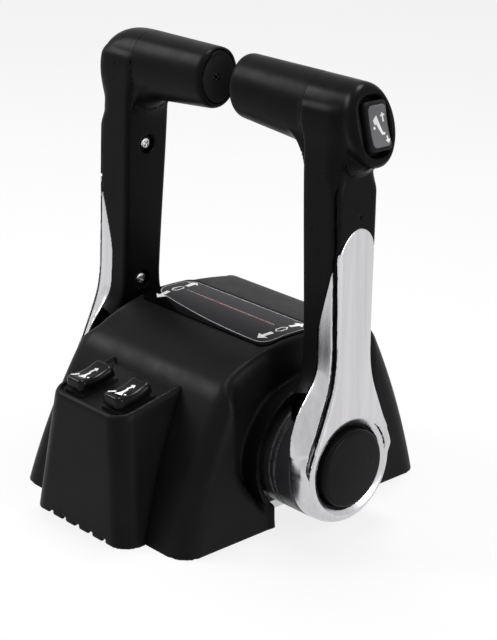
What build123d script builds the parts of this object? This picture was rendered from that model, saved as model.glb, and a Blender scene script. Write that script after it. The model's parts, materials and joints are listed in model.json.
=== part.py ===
from build123d import *
import math
import os

# Twin lever throttle and shift control for a boat with two engines.
# Millimetres. +Z is up from the deck, the levers turn about X, -Y is forward,
# and the origin is the middle of the deck bolt pattern.

os.makedirs("parts", exist_ok=True)

# Cover
base_half_depth = 93.0
shoulder_half_depth = 56.0
crown_height = 101.0
crown_rise = 17.0
back_shoulder_half_depth = 58.0
back_crown_rise = 6.0
face_bulge = 3.2
shoulder_radius = 24.0
back_shoulder_radius = 16.0
base_half_width = 70.0
crown_half_width = 63.5
cover_corner_radius = 12.0
cover_wall = 2.5
skirt = 20.0

# Recess in each side of the cover, with a collar round the hub
recess_x = 57.0
recess_half = 50.0
recess_bend_height = 36.0
recess_foot_half = 34.0
recess_foot_height = 14.0
recess_corner = 6.0
collar_radius = 40.0
collar_wall = 3.5
collar_height = 10.5
slot_half = 26.0

# Label on the crown
label_length = 104.0
label_width = 42.0
label_corner = 6.0
label_thickness = 0.8

# Base plate and deck bolts
plate_thickness = 5.0
plate_margin = 4.0
plate_corner = 12.0
deck_spacing_x = 100.0
deck_spacing_y = 140.0
deck_hole_radius = 3.3
wire_hole_half_x = 26.0
wire_hole_half_y = 16.0
plate_notch_gap = 2.0

# Posts inside the cover, screwed from below
post_x = 58.0
post_y = 60.0
post_radius = 4.5
screw_radius = 1.6
screw_head_radius = 3.4
screw_head_height = 2.2
screw_grip = 12.0
screw_tip_room = 1.0
driver_slot = 1.0

# Side plates, shafts and bushes
shaft_height = 39.0
shaft_radius = 8.0
run_clearance = 0.05
seat_gap = 0.1
side_plate_x = 40.0
side_plate_thickness = 6.0
side_plate_front = -30.0
side_plate_back = 60.0
side_plate_top = 62.0
side_plate_margin = 4.0
foot_width = 12.0
foot_thickness = 5.0
boss_radius = 15.0
boss_inner_x = 34.0
boss_outer_x = 58.0
bush_wall = 2.0
bush_length = 5.0
bush_flange = 1.5
bush_flange_radius = 12.5
pad_radius = 2.5
pad_length = 4.0
friction_head_radius = 3.2
friction_head_height = 3.0

# Gears
gear_module = 1.5
pinion_teeth = 16
sector_teeth = 48
pressure_angle = 20.0
addendum_share = 0.8
dedendum_share = 1.05
backlash = 0.24
gear_width = 6.0
pinion_width = 7.0
lever_forward = 90.0
lever_reverse = 70.0
sector_margin = 8.0
axle_radius = 5.0
axle_shoulder_radius = 8.0
shift_pin_reach = 22.0

# Throttle arm, pins and clips
arm_plate_thickness = 5.0
throttle_reach = 27.0
arm_boss_radius = 13.0
arm_end_radius = 6.0
cable_pin_radius = 3.0
cable_pin_collar_radius = 4.5
cable_pin_collar = 1.5
cable_pin_length = 8.0
clip_thickness = 1.4
clip_depth = 1.0
clip_width = 3.0
clip_mouth = 3.0
shaft_tail = 1.5

# Neutral detent and neutral switch
cam_width = 5.0
cam_radius = 14.0
notch_radius = 2.6
notch_angle = 30.0
spring_gap = 0.4
spring_thickness = 0.8
spring_width = 4.6
spring_tip = 5.0
spring_nose_radius = 2.2
small_head_radius = 2.4
small_head_height = 1.6
small_screw_length = 6.0
small_head_seat = 4.7
ledge_depth = 8.0
ledge_height = 4.0
switch_depth = 13.0
switch_height = 14.0
switch_lift = -7.0
plunger_radius = 1.2
plunger_length = 2.4

# Cable sockets in the base plate
socket_radius = 6.0
socket_bore = 3.4
socket_flange_radius = 8.5
socket_flange = 3.0

# Levers: hub, arm and covers, leaning inward by the tilt
tilt = 2.1
hub_radius = 33.0
hub_gap = 0.2
arm_half_width = 14.0
parting_u = 87.0
inner_depth = 11.6
band_depth = 11.5
rib_depth = 3.0
rib_inset = 1.5
rib_radius = 1.4
neck_height = 92.0
neck_angle = 28.0
neck_radius = 25.0
neck_lift = 6.0
arm_wall = 2.5
chrome_wall = 1.2
chrome_start_height = 100.0
chrome_bend_height = 130.0
chrome_bend_depth = 2.5
chrome_arch_foot = 149.0
chrome_arch_top = 171.0
chrome_arch_y = 9.0
lower_screw_height = 100.0
upper_screw_height = 183.0
arm_screw_radius = 2.0
arm_screw_length = 13.0
arm_screw_head_radius = 3.4
arm_screw_head = 2.4
arm_screw_seat = 8.0
counterbore_gap = 2.1
counterbore_wall = 1.0
bar_half_width = 8.0
bar_thickness = 6.0
bar_foot_height = 78.0
bar_height = 232.0
bar_half_height = 7.0
bar_overlap = 16.0
riser_height = 94.0
riser_half_width = 10.0
riser_thickness = 6.0
fit_gap = 0.1

# Grips
grip_end_x = 10.0
seam_x = 69.0
grip_top = 250.0
grip_end_low = 215.0
grip_seam_low = 210.0
grip_end_width = 29.0
grip_seam_width = 32.0
grip_rim_radius = 3.5
grip_cap_width = 20.0
grip_cap_height = 24.0
grip_cap_thickness = 2.5
grip_pocket = 4.0
inside_corner_radius = 14.0

# Corner of the starboard lever
corner_end_x = 95.0
corner_low = 204.0
arm_top = 215.0
corner_width = 33.0
tangent_gap = 0.5
corner_radius = 20.0

# Trim switch at the end of the port lever
trim_tilt = 16.5
trim_face_x = 105.0
trim_face_height = 229.0
trim_face_tall = 43.0
trim_face_wide = 31.0
trim_waist_x = 86.0
trim_waist_low = 205.0
trim_waist_width = 33.0
trim_rim_radius = 3.0
trim_pocket_tall = 33.0
trim_pocket_wide = 22.0
trim_pocket_depth = 6.0
trim_rocker_long = 24.0
trim_rocker_wide = 13.0
trim_rocker_rise = 3.5
trim_body_depth = 9.0
trim_body_wide = 15.0
trim_body_long = 26.0
trim_pivot_depth = 5.0
trim_rib_thickness = 2.0
trim_rocker_swing = 10.0
trim_rocker_corner = 2.5
trim_dish_radius = 96.0
trim_dish_depth = 1.0
pivot_gap = 0.3

# Warm-up button in each hub
button_radius = 22.1
button_height = 10.3
button_wall = 2.0
button_lip = 2.0
button_lip_length = 2.0
button_travel = 4.0
button_gap = 0.5
button_edge = 1.2
button_stop = 4.0
ring_width = 2.1
ring_depth = 5.0
bolt_shank_radius = 4.0
bolt_head_radius = 7.0
bolt_head_height = 6.0
bolt_well_gap = 2.0
bolt_depth = 22.0
bolt_web = 2.0
hub_seat = 11.3
button_spring_radius = 13.0
button_spring_wire = 0.8
button_spring_turns = 4.0

# Switch pod on the front
pod_foot_half = 40.0
pod_top_half = 27.7
pod_foot_reach = 15.5
pod_corner = 11.0
pod_front_drop = 11.5
pod_slope = 10.0
pod_wall = 2.5
pod_rim = 3.0
pod_loft_rise = 6.0
pod_back_y = -28.0
pod_switch_x = 15.5
pod_switch_gap = 8.23
pod_switch_inset = 18.0
rocker_wide = 15.0
rocker_long = 25.0
rocker_rise = 10.0
rocker_corner = 4.0
rocker_body_wide = 12.0
rocker_body_long = 20.0
rocker_body_depth = 16.0
rocker_bezel = 1.2
rocker_lift = 0.4
rocker_swing = 8.0
rocker_stem_wide = 5.0
rocker_stem_long = 3.0
rocker_dish_radius = 30.0
rocker_dish_depth = 2.8
pod_screw_x = 24.0
pod_screw_height = 25.0
pod_post_radius = 4.0
drain_count = 5
drain_pitch = 11.4
drain_width = 3.4
drain_height = 2.0

# The cover's shoulders and the pod's place, which follow from the sizes above
shoulder_height = crown_height - crown_rise
front_shoulder = (shoulder_half_depth, shoulder_height)
back_shoulder = (back_shoulder_half_depth, crown_height - back_crown_rise)
pod_front_height = shoulder_height - pod_front_drop
pod_loft_height = shoulder_height + pod_loft_rise
cover_slope = (base_half_depth - shoulder_half_depth) / shoulder_height
cover_front_y = -(base_half_depth - cover_slope * pod_front_height + face_bulge)
pod_switch_y = cover_front_y - pod_switch_gap - rocker_long / 2
pod_top_depth = pod_switch_inset - pod_switch_y
pod_foot_depth = base_half_depth + pod_foot_reach

# Places along X that follow from the sizes above
collar_x = recess_x + collar_height
plate_notch_x = recess_x - cover_wall - plate_notch_gap
hub_inner_x = boss_outer_x + bush_flange + hub_gap
shaft_end_x = hub_inner_x + hub_seat
bolt_head_x = shaft_end_x + bolt_web
hub_cavity_x = bolt_head_x + bolt_head_height + bolt_well_gap
button_skirt_x = hub_cavity_x + button_travel + button_stop
button_face_x = button_skirt_x + button_height
arm_inner_u = parting_u - inner_depth
crease_u = parting_u + band_depth
face_u = crease_u + rib_depth
cam_outer_x = boss_inner_x - bush_flange - seat_gap
cam_inner_x = cam_outer_x - cam_width
pinion_inner_x = cam_inner_x - pinion_width
arm_inner_x = pinion_inner_x - arm_plate_thickness
clip_inner_x = arm_inner_x - clip_thickness
shaft_inner_x = clip_inner_x - shaft_tail
sector_inner_x = pinion_inner_x + (pinion_width - gear_width) / 2
sector_outer_x = sector_inner_x + gear_width
socket_x = arm_inner_x - (cable_pin_collar + cable_pin_length) / 2
friction_x = (side_plate_x + side_plate_thickness + boss_outer_x - bush_length) / 2

# Radii, heights and gear centres that follow from the sizes above
bush_outer_radius = shaft_radius + run_clearance + bush_wall
counterbore_radius = arm_screw_head_radius + counterbore_gap
screw_boss_radius = counterbore_radius + counterbore_wall
chrome_opening_radius = button_radius + ring_width
pitch_pinion = gear_module * pinion_teeth / 2
pitch_sector = gear_module * sector_teeth / 2
axle_y = pitch_pinion + pitch_sector
ledge_top = shaft_height + cam_radius + spring_gap
beyond = 1.0


def export(shape, name):
    export_step(shape, f"parts/{name}.step")


def starboard(shape):
    """The same piece on the other side of the centre plane."""
    return mirror(shape, about=Plane.YZ)


def both_sides(shape):
    """A group of a piece and its mirror image, as separate solids."""
    return Compound(children=list(shape.solids()) + list(starboard(shape).solids()))


def x_cylinder(radius, x0, x1, y=0.0, z=shaft_height):
    """Cylinder along X from x0 to x1."""
    disc = Plane(origin=(x0, y, z), x_dir=(0, 1, 0), z_dir=(1, 0, 0)) * Circle(radius)
    return extrude(disc, x1 - x0)


def z_cylinder(radius, z0, z1, x, y):
    disc = Plane(origin=(x, y, z0)) * Circle(radius)
    return extrude(disc, z1 - z0)


def block(x0, x1, y0, y1, z0, z1):
    """Box between two corners."""
    return Pos((x0 + x1) / 2, (y0 + y1) / 2, (z0 + z1) / 2) * Box(x1 - x0, y1 - y0, z1 - z0)


def yz_prism(face, x0, x1):
    """A face drawn in Y and Z, carried along X from x0 to x1."""
    drawn = Plane(origin=(x0, 0, 0), x_dir=(0, 1, 0), z_dir=(1, 0, 0)) * face
    return extrude(drawn, x1 - x0, dir=(1, 0, 0))


def xz_prism(face, half):
    """A face drawn in X and Z, carried along Y by half each way."""
    drawn = Plane(origin=(0, 0, 0), x_dir=(1, 0, 0), z_dir=(0, -1, 0)) * face
    return extrude(drawn, half, both=True)


def leaned(shape):
    """A lever piece drawn upright, leaned inward about the middle of the hub."""
    return (Pos(parting_u, 0, shaft_height) * Rot(0, -tilt, 0)
            * Pos(-parting_u, 0, -shaft_height) * shape)


# Cover and label

def half_width_at(height):
    return base_half_width - (base_half_width - crown_half_width) * height / crown_height


def cover_face_depth(height, shoulder):
    """How far from the middle the cover's skin stands at a height, below a shoulder."""
    half_depth, rise = shoulder
    chord_y = base_half_depth - half_depth
    half_chord = math.hypot(chord_y, rise) / 2
    radius = (half_chord ** 2 + face_bulge ** 2) / (2 * face_bulge)
    inward = (radius - face_bulge) / (2 * half_chord)
    centre_y = (base_half_depth + half_depth) / 2 - rise * inward
    centre_z = rise / 2 - chord_y * inward
    return centre_y + math.sqrt(radius ** 2 - (height - centre_z) ** 2)


def half_profile(shoulder, radius):
    """Half of the cover's side outline, with a face below the shoulder and half of the crown."""
    half_depth, rise = shoulder
    drop = crown_height - rise
    crown_radius = (half_depth ** 2 + drop ** 2) / (2 * drop)
    turn = math.asin(half_depth / crown_radius) / 2
    crown_middle = (crown_radius * math.sin(turn),
                    crown_height - crown_radius + crown_radius * math.cos(turn))
    foot = (cover_face_depth(-skirt, shoulder), -skirt)
    skin = ThreePointArc(foot, (cover_face_depth(rise / 2, shoulder), rise / 2), shoulder)
    crown = ThreePointArc(shoulder, crown_middle, (0, crown_height))
    down = Line((0, crown_height), (0, -skirt))
    half = make_face([skin, crown, down, Line((0, -skirt), foot)])
    return fillet(half.vertices().sort_by_distance((half_depth, rise, 0))[0], radius)


def cover_profile(inset):
    """Side outline of the cover in Y and Z, moved in by inset."""
    front = mirror(half_profile(front_shoulder, shoulder_radius), about=Plane.YZ)
    outline = half_profile(back_shoulder, back_shoulder_radius) + front
    return offset(outline, amount=-inset) if inset else outline


def cover_form(inset, floor):
    """Solid inside the cover's outer skin, moved in by inset, from the floor up."""
    lengthwise = yz_prism(cover_profile(inset), -base_half_width - skirt, base_half_width + skirt)
    lean = (base_half_width - crown_half_width) / crown_height
    shift = inset * math.sqrt(1 + lean ** 2)
    high = crown_height + skirt
    low_half = half_width_at(-skirt) - shift
    high_half = half_width_at(high) - shift
    sides = Polygon((-low_half, -skirt), (low_half, -skirt), (high_half, high), (-high_half, high),
                    align=None)
    form = lengthwise & xz_prism(sides, 2 * base_half_depth)
    edges = [e for e in form.edges()
             if abs(e.center().X) > shoulder_radius and e.center().Z > 1 - skirt]
    form = fillet(edges, cover_corner_radius - inset)
    reach = 2 * base_half_depth
    return form & block(-reach, reach, -reach, reach, floor, high)


def recess(grow):
    """Hollow in the port side of the cover where the lever swings."""
    half = recess_half + grow
    foot_half = recess_foot_half + grow
    low = recess_foot_height - grow
    high = crown_height + skirt
    outline = Polygon((-half, high), (-half, recess_bend_height), (-foot_half, low), (foot_half, low),
                      (half, recess_bend_height), (half, high), align=None)
    corners = outline.vertices().sort_by(Axis.Y)[:4]
    return yz_prism(fillet(corners, recess_corner + grow), recess_x - grow, base_half_width + skirt)


def hub_slot(grow, x0, x1):
    """Slot, open at the bottom, that lets the cover drop over a shaft."""
    half = slot_half + grow
    return (x_cylinder(half, x0, x1)
            + block(x0, x1, -half, half, -skirt, shaft_height))


def make_cover():
    outer = cover_form(0, 0)
    hollow = cover_form(cover_wall, -skirt)
    port_side = recess(0)
    port_inside = recess(cover_wall)
    shell = outer - port_side - starboard(port_side)
    shell -= hollow - port_inside - starboard(port_inside)

    inner_x = recess_x - cover_wall
    above_deck = block(0, collar_x, -collar_radius, collar_radius, 0, crown_height)
    collar = x_cylinder(collar_radius, inner_x, collar_x) & above_deck
    rib = block(inner_x, base_half_width, -slot_half - cover_wall, slot_half + cover_wall,
                0, recess_foot_height) & outer
    opening = (x_cylinder(collar_radius - collar_wall, recess_x, collar_x + beyond)
               + hub_slot(0, inner_x - beyond, base_half_width + beyond))
    for side in (collar + rib, starboard(collar + rib)):
        shell += side
    for side in (opening, starboard(opening)):
        shell -= side

    inside = cover_form(cover_wall / 2, 0)
    for x in (-post_x, post_x):
        for y in (-post_y, post_y):
            shell += z_cylinder(post_radius, plate_thickness, crown_height, x, y) & inside
    for x in (-post_x, post_x):
        for y in (-post_y, post_y):
            shell -= z_cylinder(screw_radius, 0, plate_thickness + screw_grip + screw_tip_room, x, y)
    for x in (-pod_screw_x, pod_screw_x):
        shell -= y_hole(screw_radius + fit_gap, x)
    return shell


def y_hole(radius, x):
    """Hole along Y through the front wall, for a pod screw."""
    plane = Plane(origin=(x, -post_y, pod_screw_height), x_dir=(1, 0, 0), z_dir=(0, -1, 0))
    return extrude(plane * Circle(radius), base_half_depth - post_y)


def make_label():
    prism = extrude(RectangleRounded(label_length, label_width, label_corner), crown_height + skirt)
    above = yz_prism(cover_profile(-label_thickness), -label_length, label_length) & prism
    return above - yz_prism(cover_profile(0), -label_length, label_length)


# Base plate, side plates and what they carry

def deck_points():
    return [(sx * deck_spacing_x / 2, sy * deck_spacing_y / 2) for sx in (-1, 1) for sy in (-1, 1)]


def foot_screw_points():
    x = side_plate_x + side_plate_thickness - foot_width / 2
    return [(x, side_plate_front + foot_width), (x, side_plate_back - foot_width)]


def frame_screw_points():
    """Places of the screws that come up through the base plate, on both sides."""
    port = foot_screw_points() + [(post_x, -post_y), (post_x, post_y)]
    return port + [(-x, y) for x, y in port]


def make_base_plate():
    outline = RectangleRounded(2 * (base_half_width - plate_margin),
                               2 * (base_half_depth - plate_margin - cover_wall), plate_corner)
    plate = extrude(outline, plate_thickness)
    low = -beyond
    high = plate_thickness + beyond
    notch_half = slot_half + cover_wall + plate_notch_gap / 2
    notch = block(plate_notch_x, base_half_width, -notch_half, notch_half, low, high)
    plate -= notch
    plate -= starboard(notch)
    plate -= block(-wire_hole_half_x, wire_hole_half_x, -wire_hole_half_y, wire_hole_half_y, low, high)
    for x, y in deck_points():
        plate -= z_cylinder(deck_hole_radius, low, high, x, y)
    for x, y in socket_points():
        plate -= z_cylinder(socket_radius, low, high, x, y)
    for x, y in frame_screw_points():
        plate -= z_cylinder(screw_radius + fit_gap, low, high, x, y)
        plate -= z_cylinder(screw_head_radius + fit_gap, low, screw_head_height + 2 * fit_gap, x, y)
    return plate


def make_frame_screws():
    """Eight identical screws, heads up in the underside of the plate."""
    solids = []
    for x, y in frame_screw_points():
        low = 2 * fit_gap
        screw = z_cylinder(screw_head_radius, low, low + screw_head_height, x, y)
        screw += z_cylinder(screw_radius, low, plate_thickness + screw_grip, x, y)
        drive = cross_recess(screw_head_radius, screw_head_height / 2)
        solids.append(screw - Pos(x, y, low) * drive)
    return Compound(children=solids)


def cross_recess(span, depth):
    """Cross shaped driver recess, opening downward at its origin."""
    arm = block(-span / 2, span / 2, -driver_slot / 2, driver_slot / 2, -depth, depth)
    return arm + Rot(0, 0, 90) * arm


def socket_points():
    """Under the cable pins of the throttle arms, and as far behind the shafts."""
    return [(sx * socket_x, sy * throttle_reach) for sx in (-1, 1) for sy in (-1, 1)]


def make_cable_sockets():
    solids = []
    top = plate_thickness + socket_flange
    for x, y in socket_points():
        body = z_cylinder(socket_radius, 0, plate_thickness, x, y)
        body += z_cylinder(socket_flange_radius, plate_thickness, top, x, y)
        solids.append(body - z_cylinder(socket_bore, -beyond, top + beyond, x, y))
    return Compound(children=solids)


def make_side_plate():
    """Port side plate with its foot, shaft boss, axle boss and the two lugs for the detent."""
    shoulder_z = shaft_height + axle_shoulder_radius + side_plate_margin
    outline = Polygon((side_plate_front, plate_thickness), (side_plate_back, plate_thickness),
                      (side_plate_back, shaft_height), (axle_y, shoulder_z),
                      (boss_radius, side_plate_top), (side_plate_front, side_plate_top), align=None)
    x0 = side_plate_x
    x1 = side_plate_x + side_plate_thickness
    plate = yz_prism(outline, x0, x1)
    plate += block(x1 - foot_width, x1, side_plate_front, side_plate_back,
                   plate_thickness, plate_thickness + foot_thickness)
    plate += x_cylinder(boss_radius, boss_inner_x, boss_outer_x)
    plate += block(cam_inner_x, x0, side_plate_front, side_plate_front + ledge_depth,
                   ledge_top - ledge_height, ledge_top)
    switch_low = shaft_height + switch_lift
    plate += block(cam_outer_x, x0, side_plate_front, side_plate_front + switch_depth - beyond,
                   switch_low, switch_low + switch_height)
    plate -= x_cylinder(bush_outer_radius, boss_inner_x - beyond, boss_outer_x + beyond)
    plate -= x_cylinder(axle_radius, x0 - beyond, x1 + beyond, axle_y)
    plate -= z_cylinder(pad_radius + run_clearance, shaft_height, side_plate_top + beyond, friction_x, 0)
    plate -= z_cylinder(screw_radius, ledge_top - ledge_height - beyond, ledge_top + beyond,
                        spring_mid_x(), spring_screw_y())
    tip = plate_thickness + screw_grip + screw_tip_room
    for x, y in foot_screw_points():
        plate -= z_cylinder(screw_radius, plate_thickness - beyond, tip, x, y)
    return plate


def make_bushings():
    """Flanged bushes at both ends of each boss."""
    inner = x_cylinder(bush_outer_radius, boss_inner_x, boss_inner_x + bush_length)
    inner += x_cylinder(bush_flange_radius, boss_inner_x - bush_flange, boss_inner_x)
    outer = x_cylinder(bush_outer_radius, boss_outer_x - bush_length, boss_outer_x)
    outer += x_cylinder(bush_flange_radius, boss_outer_x, boss_outer_x + bush_flange)
    bore = x_cylinder(shaft_radius + run_clearance, boss_inner_x - bush_length, boss_outer_x + bush_length)
    pair = [inner - bore, outer - bore]
    return Compound(children=pair + [starboard(bush) for bush in pair])


def make_friction_pad():
    top = shaft_height + shaft_radius + pad_length
    pad = z_cylinder(pad_radius, shaft_height, top, friction_x, 0)
    return pad - x_cylinder(shaft_radius + run_clearance, friction_x - boss_radius, friction_x + boss_radius)


def make_friction_screw():
    low = shaft_height + shaft_radius + pad_length
    seat = shaft_height + boss_radius + pivot_gap
    top = seat + friction_head_height
    screw = z_cylinder(pad_radius, low, seat, friction_x, 0)
    screw += z_cylinder(friction_head_radius, seat, top, friction_x, 0)
    slot = block(friction_x - driver_slot / 2, friction_x + driver_slot / 2, -boss_radius, boss_radius,
                 top - driver_slot, top + beyond)
    return screw - slot


def make_shift_axle():
    axle = x_cylinder(axle_radius, sector_inner_x - 3 * seat_gap - 2 * clip_thickness,
                      side_plate_x + side_plate_thickness, axle_y)
    axle += x_cylinder(axle_shoulder_radius, sector_outer_x + seat_gap, side_plate_x, axle_y)
    groove_x = sector_inner_x - seat_gap - clip_thickness
    return axle - clip_groove(axle_radius, groove_x, axle_y)


def clip_groove(radius, x0, y):
    """What a clip's groove takes away from a shaft."""
    ring = x_cylinder(radius + beyond, x0, x0 + clip_thickness, y)
    return ring - x_cylinder(radius - clip_depth, x0 - beyond, x0 + clip_thickness + beyond, y)


def retaining_clip(x0, bore, y):
    """Open ring in a shaft groove."""
    x1 = x0 + clip_thickness
    ring = x_cylinder(bore + clip_width, x0, x1, y) - x_cylinder(bore, x0 - beyond, x1 + beyond, y)
    return ring - block(x0 - beyond, x1 + beyond, y - clip_mouth / 2, y + clip_mouth / 2,
                        shaft_height - bore - clip_width - beyond, shaft_height)


def spring_mid_x():
    return (cam_inner_x + cam_outer_x) / 2


def spring_screw_y():
    return side_plate_front + ledge_depth / 2


def make_detent_spring():
    """Leaf spring whose nose drops into the cam's notch in neutral."""
    x0 = spring_mid_x() - spring_width / 2
    x1 = spring_mid_x() + spring_width / 2
    leaf = block(x0, x1, side_plate_front, spring_tip, ledge_top, ledge_top + spring_thickness)
    nose = x_cylinder(spring_nose_radius, x0, x1, 0, ledge_top)
    nose &= block(x0, x1, -spring_tip, spring_tip, shaft_height, ledge_top + spring_thickness)
    hole = z_cylinder(screw_radius + fit_gap, shaft_height, ledge_top + spring_tip,
                      spring_mid_x(), spring_screw_y())
    return leaf + nose - hole


def make_small_screws():
    """Four identical small screws: one on each detent spring and two through the cover into the pod."""
    screw = z_cylinder(small_head_radius, 0, small_head_height, 0, 0)
    screw += z_cylinder(screw_radius, -small_screw_length, 0, 0, 0)
    detent = Pos(spring_mid_x(), spring_screw_y(), ledge_top + spring_thickness) * screw
    inside_y = small_head_seat - cover_face_depth(pod_screw_height, front_shoulder)
    to_pod = Pos(pod_screw_x, inside_y, pod_screw_height) * Rot(-90, 0, 0) * screw
    return Compound(children=[detent, starboard(detent), to_pod, starboard(to_pod)])


def make_neutral_switch():
    low = shaft_height + switch_lift
    body = block(cam_inner_x, cam_outer_x, side_plate_front, side_plate_front + switch_depth,
                 low, low + switch_height)
    tip_y = side_plate_front + switch_depth
    disc = Plane(origin=(spring_mid_x(), tip_y, shaft_height), x_dir=(1, 0, 0), z_dir=(0, 1, 0))
    return body + extrude(disc * Circle(plunger_radius), plunger_length)


# Gears, throttle arm and shaft

def tooth_points(teeth, centre_angle, centre_y, thinning):
    """One involute tooth as points in Y and Z, centred on an angle from +Y towards +Z."""
    pitch = gear_module * teeth / 2
    base = pitch * math.cos(math.radians(pressure_angle))
    tip = pitch + addendum_share * gear_module
    root = pitch - dedendum_share * gear_module
    involute = math.tan(math.radians(pressure_angle)) - math.radians(pressure_angle)
    half_at_pitch = (math.pi * gear_module / 2 - thinning) / (2 * pitch)
    steps = 5
    low = max(base, root)
    flank = []
    for i in range(steps + 1):
        rho = low + (tip - low) * i / steps
        roll = math.acos(min(1.0, base / rho))
        flank.append((rho, half_at_pitch + involute - (math.tan(roll) - roll)))
    foot = [(root, flank[0][1])] if root < low else []
    rising = [(rho, -half) for rho, half in foot + flank]
    falling = [(rho, half) for rho, half in reversed(foot + flank)]
    return [(centre_y + rho * math.cos(centre_angle + a), shaft_height + rho * math.sin(centre_angle + a))
            for rho, a in rising + falling]


def make_drive_gear():
    """Pinion on the shaft with the detent cam moulded to it. One tooth points at the axle."""
    points = []
    for k in range(pinion_teeth):
        points += tooth_points(pinion_teeth, 2 * math.pi * k / pinion_teeth, 0, backlash / 2)
    gear = yz_prism(Polygon(*points, align=None), pinion_inner_x, cam_inner_x)
    gear += x_cylinder(cam_radius, cam_inner_x, cam_outer_x)
    for angle in (-notch_angle, 0, notch_angle):
        y = (cam_radius + spring_gap) * math.sin(math.radians(angle))
        z = shaft_height + (cam_radius + spring_gap) * math.cos(math.radians(angle))
        gear -= x_cylinder(notch_radius, cam_inner_x, cam_outer_x + beyond, y, z)
    return gear - x_cylinder(shaft_radius, pinion_inner_x - beyond, cam_outer_x + beyond)


def make_shift_gear():
    """Toothed sector on the stub axle. It turns a third as far as the lever, the other way."""
    low = -math.radians(lever_reverse * pinion_teeth / sector_teeth + sector_margin)
    high = math.radians(lever_forward * pinion_teeth / sector_teeth + sector_margin)
    pitch_angle = 2 * math.pi / sector_teeth
    first = math.ceil(low / pitch_angle - 0.5)
    last = math.floor(high / pitch_angle - 0.5)
    points = [(axle_y, shaft_height)]
    for k in range(first, last + 1):
        points += tooth_points(sector_teeth, math.pi + (k + 0.5) * pitch_angle, axle_y, backlash / 2)
    sector = yz_prism(Polygon(*points, align=None), sector_inner_x, sector_outer_x)
    x0 = sector_inner_x - beyond
    x1 = sector_outer_x + beyond
    sector += x_cylinder(axle_shoulder_radius + beyond, sector_inner_x, sector_outer_x, axle_y)
    sector -= x_cylinder(axle_radius + run_clearance, x0, x1, axle_y)
    return sector - x_cylinder(cable_pin_radius, x0, x1, axle_y - shift_pin_reach)


def cable_pin(y, x0, x1):
    """Pin pressed in a plate from x0 to x1, with a collar and a free end towards the middle."""
    pin = x_cylinder(cable_pin_radius, x0 - cable_pin_length, x1, y)
    return pin + x_cylinder(cable_pin_collar_radius, x0 - cable_pin_collar, x0, y)


def make_throttle_arm():
    outline = Pos(0, shaft_height) * Circle(arm_boss_radius)
    outline += Pos(-throttle_reach, shaft_height) * Circle(arm_end_radius)
    outline += Polygon((0, shaft_height - arm_boss_radius), (0, shaft_height + arm_boss_radius),
                       (-throttle_reach, shaft_height + arm_end_radius),
                       (-throttle_reach, shaft_height - arm_end_radius), align=None)
    arm = yz_prism(outline, arm_inner_x, pinion_inner_x)
    arm -= x_cylinder(shaft_radius, arm_inner_x - beyond, pinion_inner_x + beyond)
    return arm - x_cylinder(cable_pin_radius, arm_inner_x - beyond, pinion_inner_x + beyond, -throttle_reach)


def make_shaft():
    shaft = x_cylinder(shaft_radius, shaft_inner_x, shaft_end_x)
    shaft -= clip_groove(shaft_radius, clip_inner_x, 0)
    return shaft - x_cylinder(bolt_shank_radius, bolt_head_x - bolt_depth, shaft_end_x + beyond)


# Hub, arm and covers of a lever

def lever_outline(inset):
    """Outline of hub, neck and arm in Y and Z, moved in by inset."""
    hub = hub_radius - inset
    half = arm_half_width - inset
    angle = math.radians(neck_angle)
    side_y = hub * math.cos(angle)
    side_z = shaft_height + hub * math.sin(angle)
    outline = Polygon((-side_y, side_z), (-half, neck_height), (-half, bar_height),
                      (half, bar_height), (half, neck_height), (side_y, side_z), align=None)
    bends = outline.vertices().filter_by(lambda v: abs(v.Y - neck_height) < beyond)
    return fillet(bends, neck_radius + inset) + Pos(0, shaft_height) * Circle(hub)


def outer_form(inset):
    """Leaned solid outside the parting plane: flat band, crease and raised rounded rib."""
    band = yz_prism(lever_outline(inset), parting_u, crease_u - inset)
    rib = yz_prism(lever_outline(inset + rib_inset), crease_u - inset, face_u - inset)
    rim = rib.faces().sort_by(Axis.X)[-1].edges()
    return leaned(band + fillet(rim, rib_radius))


def chrome_zone():
    """Space that the bright cover fills: up to a lopsided arch, and outside a line on the sides."""
    low = -2 * hub_radius
    near = parting_u - beyond
    far = 2 * face_u
    foot = chrome_arch_foot
    bend = (parting_u + chrome_bend_depth, chrome_bend_height)
    side = Polygon((near, low), (near, chrome_start_height), bend, (crease_u, foot), (far, foot), (far, low),
                   align=None)
    wide = hub_radius + beyond
    half = arm_half_width + beyond
    rise = chrome_arch_top - foot
    curve = [(chrome_arch_y - (half + chrome_arch_y) * math.cos(angle), foot + rise * math.sin(angle))
             for angle in (math.radians(step) for step in range(0, 91, 15))]
    arch = Polygon((-wide, low), (-wide, foot), *curve, (half, chrome_arch_top), (wide, foot), (wide, low),
                   align=None)
    inner = crease_u - 2 * chrome_wall
    face = Polygon((inner, low), (inner, 2 * foot), (far, 2 * foot), (far, low), align=None)
    return leaned(xz_prism(side + face, 2 * hub_radius) & yz_prism(arch, near - beyond, far))


def port_corner():
    """Swelling end of the port lever, lofted from the grip seam to the tilted switch face."""
    seam = oval(seam_x, grip_seam_low, grip_seam_width)
    waist = oval(trim_waist_x, trim_waist_low, trim_waist_width)
    face = trim_plane(0) * Ellipse(trim_face_wide / 2, trim_face_tall / 2)
    return loft([seam, waist, face])


def starboard_corner():
    """Rounded corner of the plain lever, drawn on the port side."""
    body = loft([oval(seam_x, grip_seam_low, grip_seam_width),
                 oval(corner_end_x + corner_radius / 10, corner_low, corner_width)], ruled=True)
    inner = seam_x - corner_radius
    low = corner_low - corner_radius
    outline = Polygon((inner, low), (corner_end_x, low), (corner_end_x, grip_top + tangent_gap),
                      (inner, grip_top + tangent_gap), align=None)
    corner = outline.vertices().filter_by(lambda v: v.X > seam_x and v.Y > grip_top)
    return body & xz_prism(fillet(corner, corner_radius), corner_width)


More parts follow.
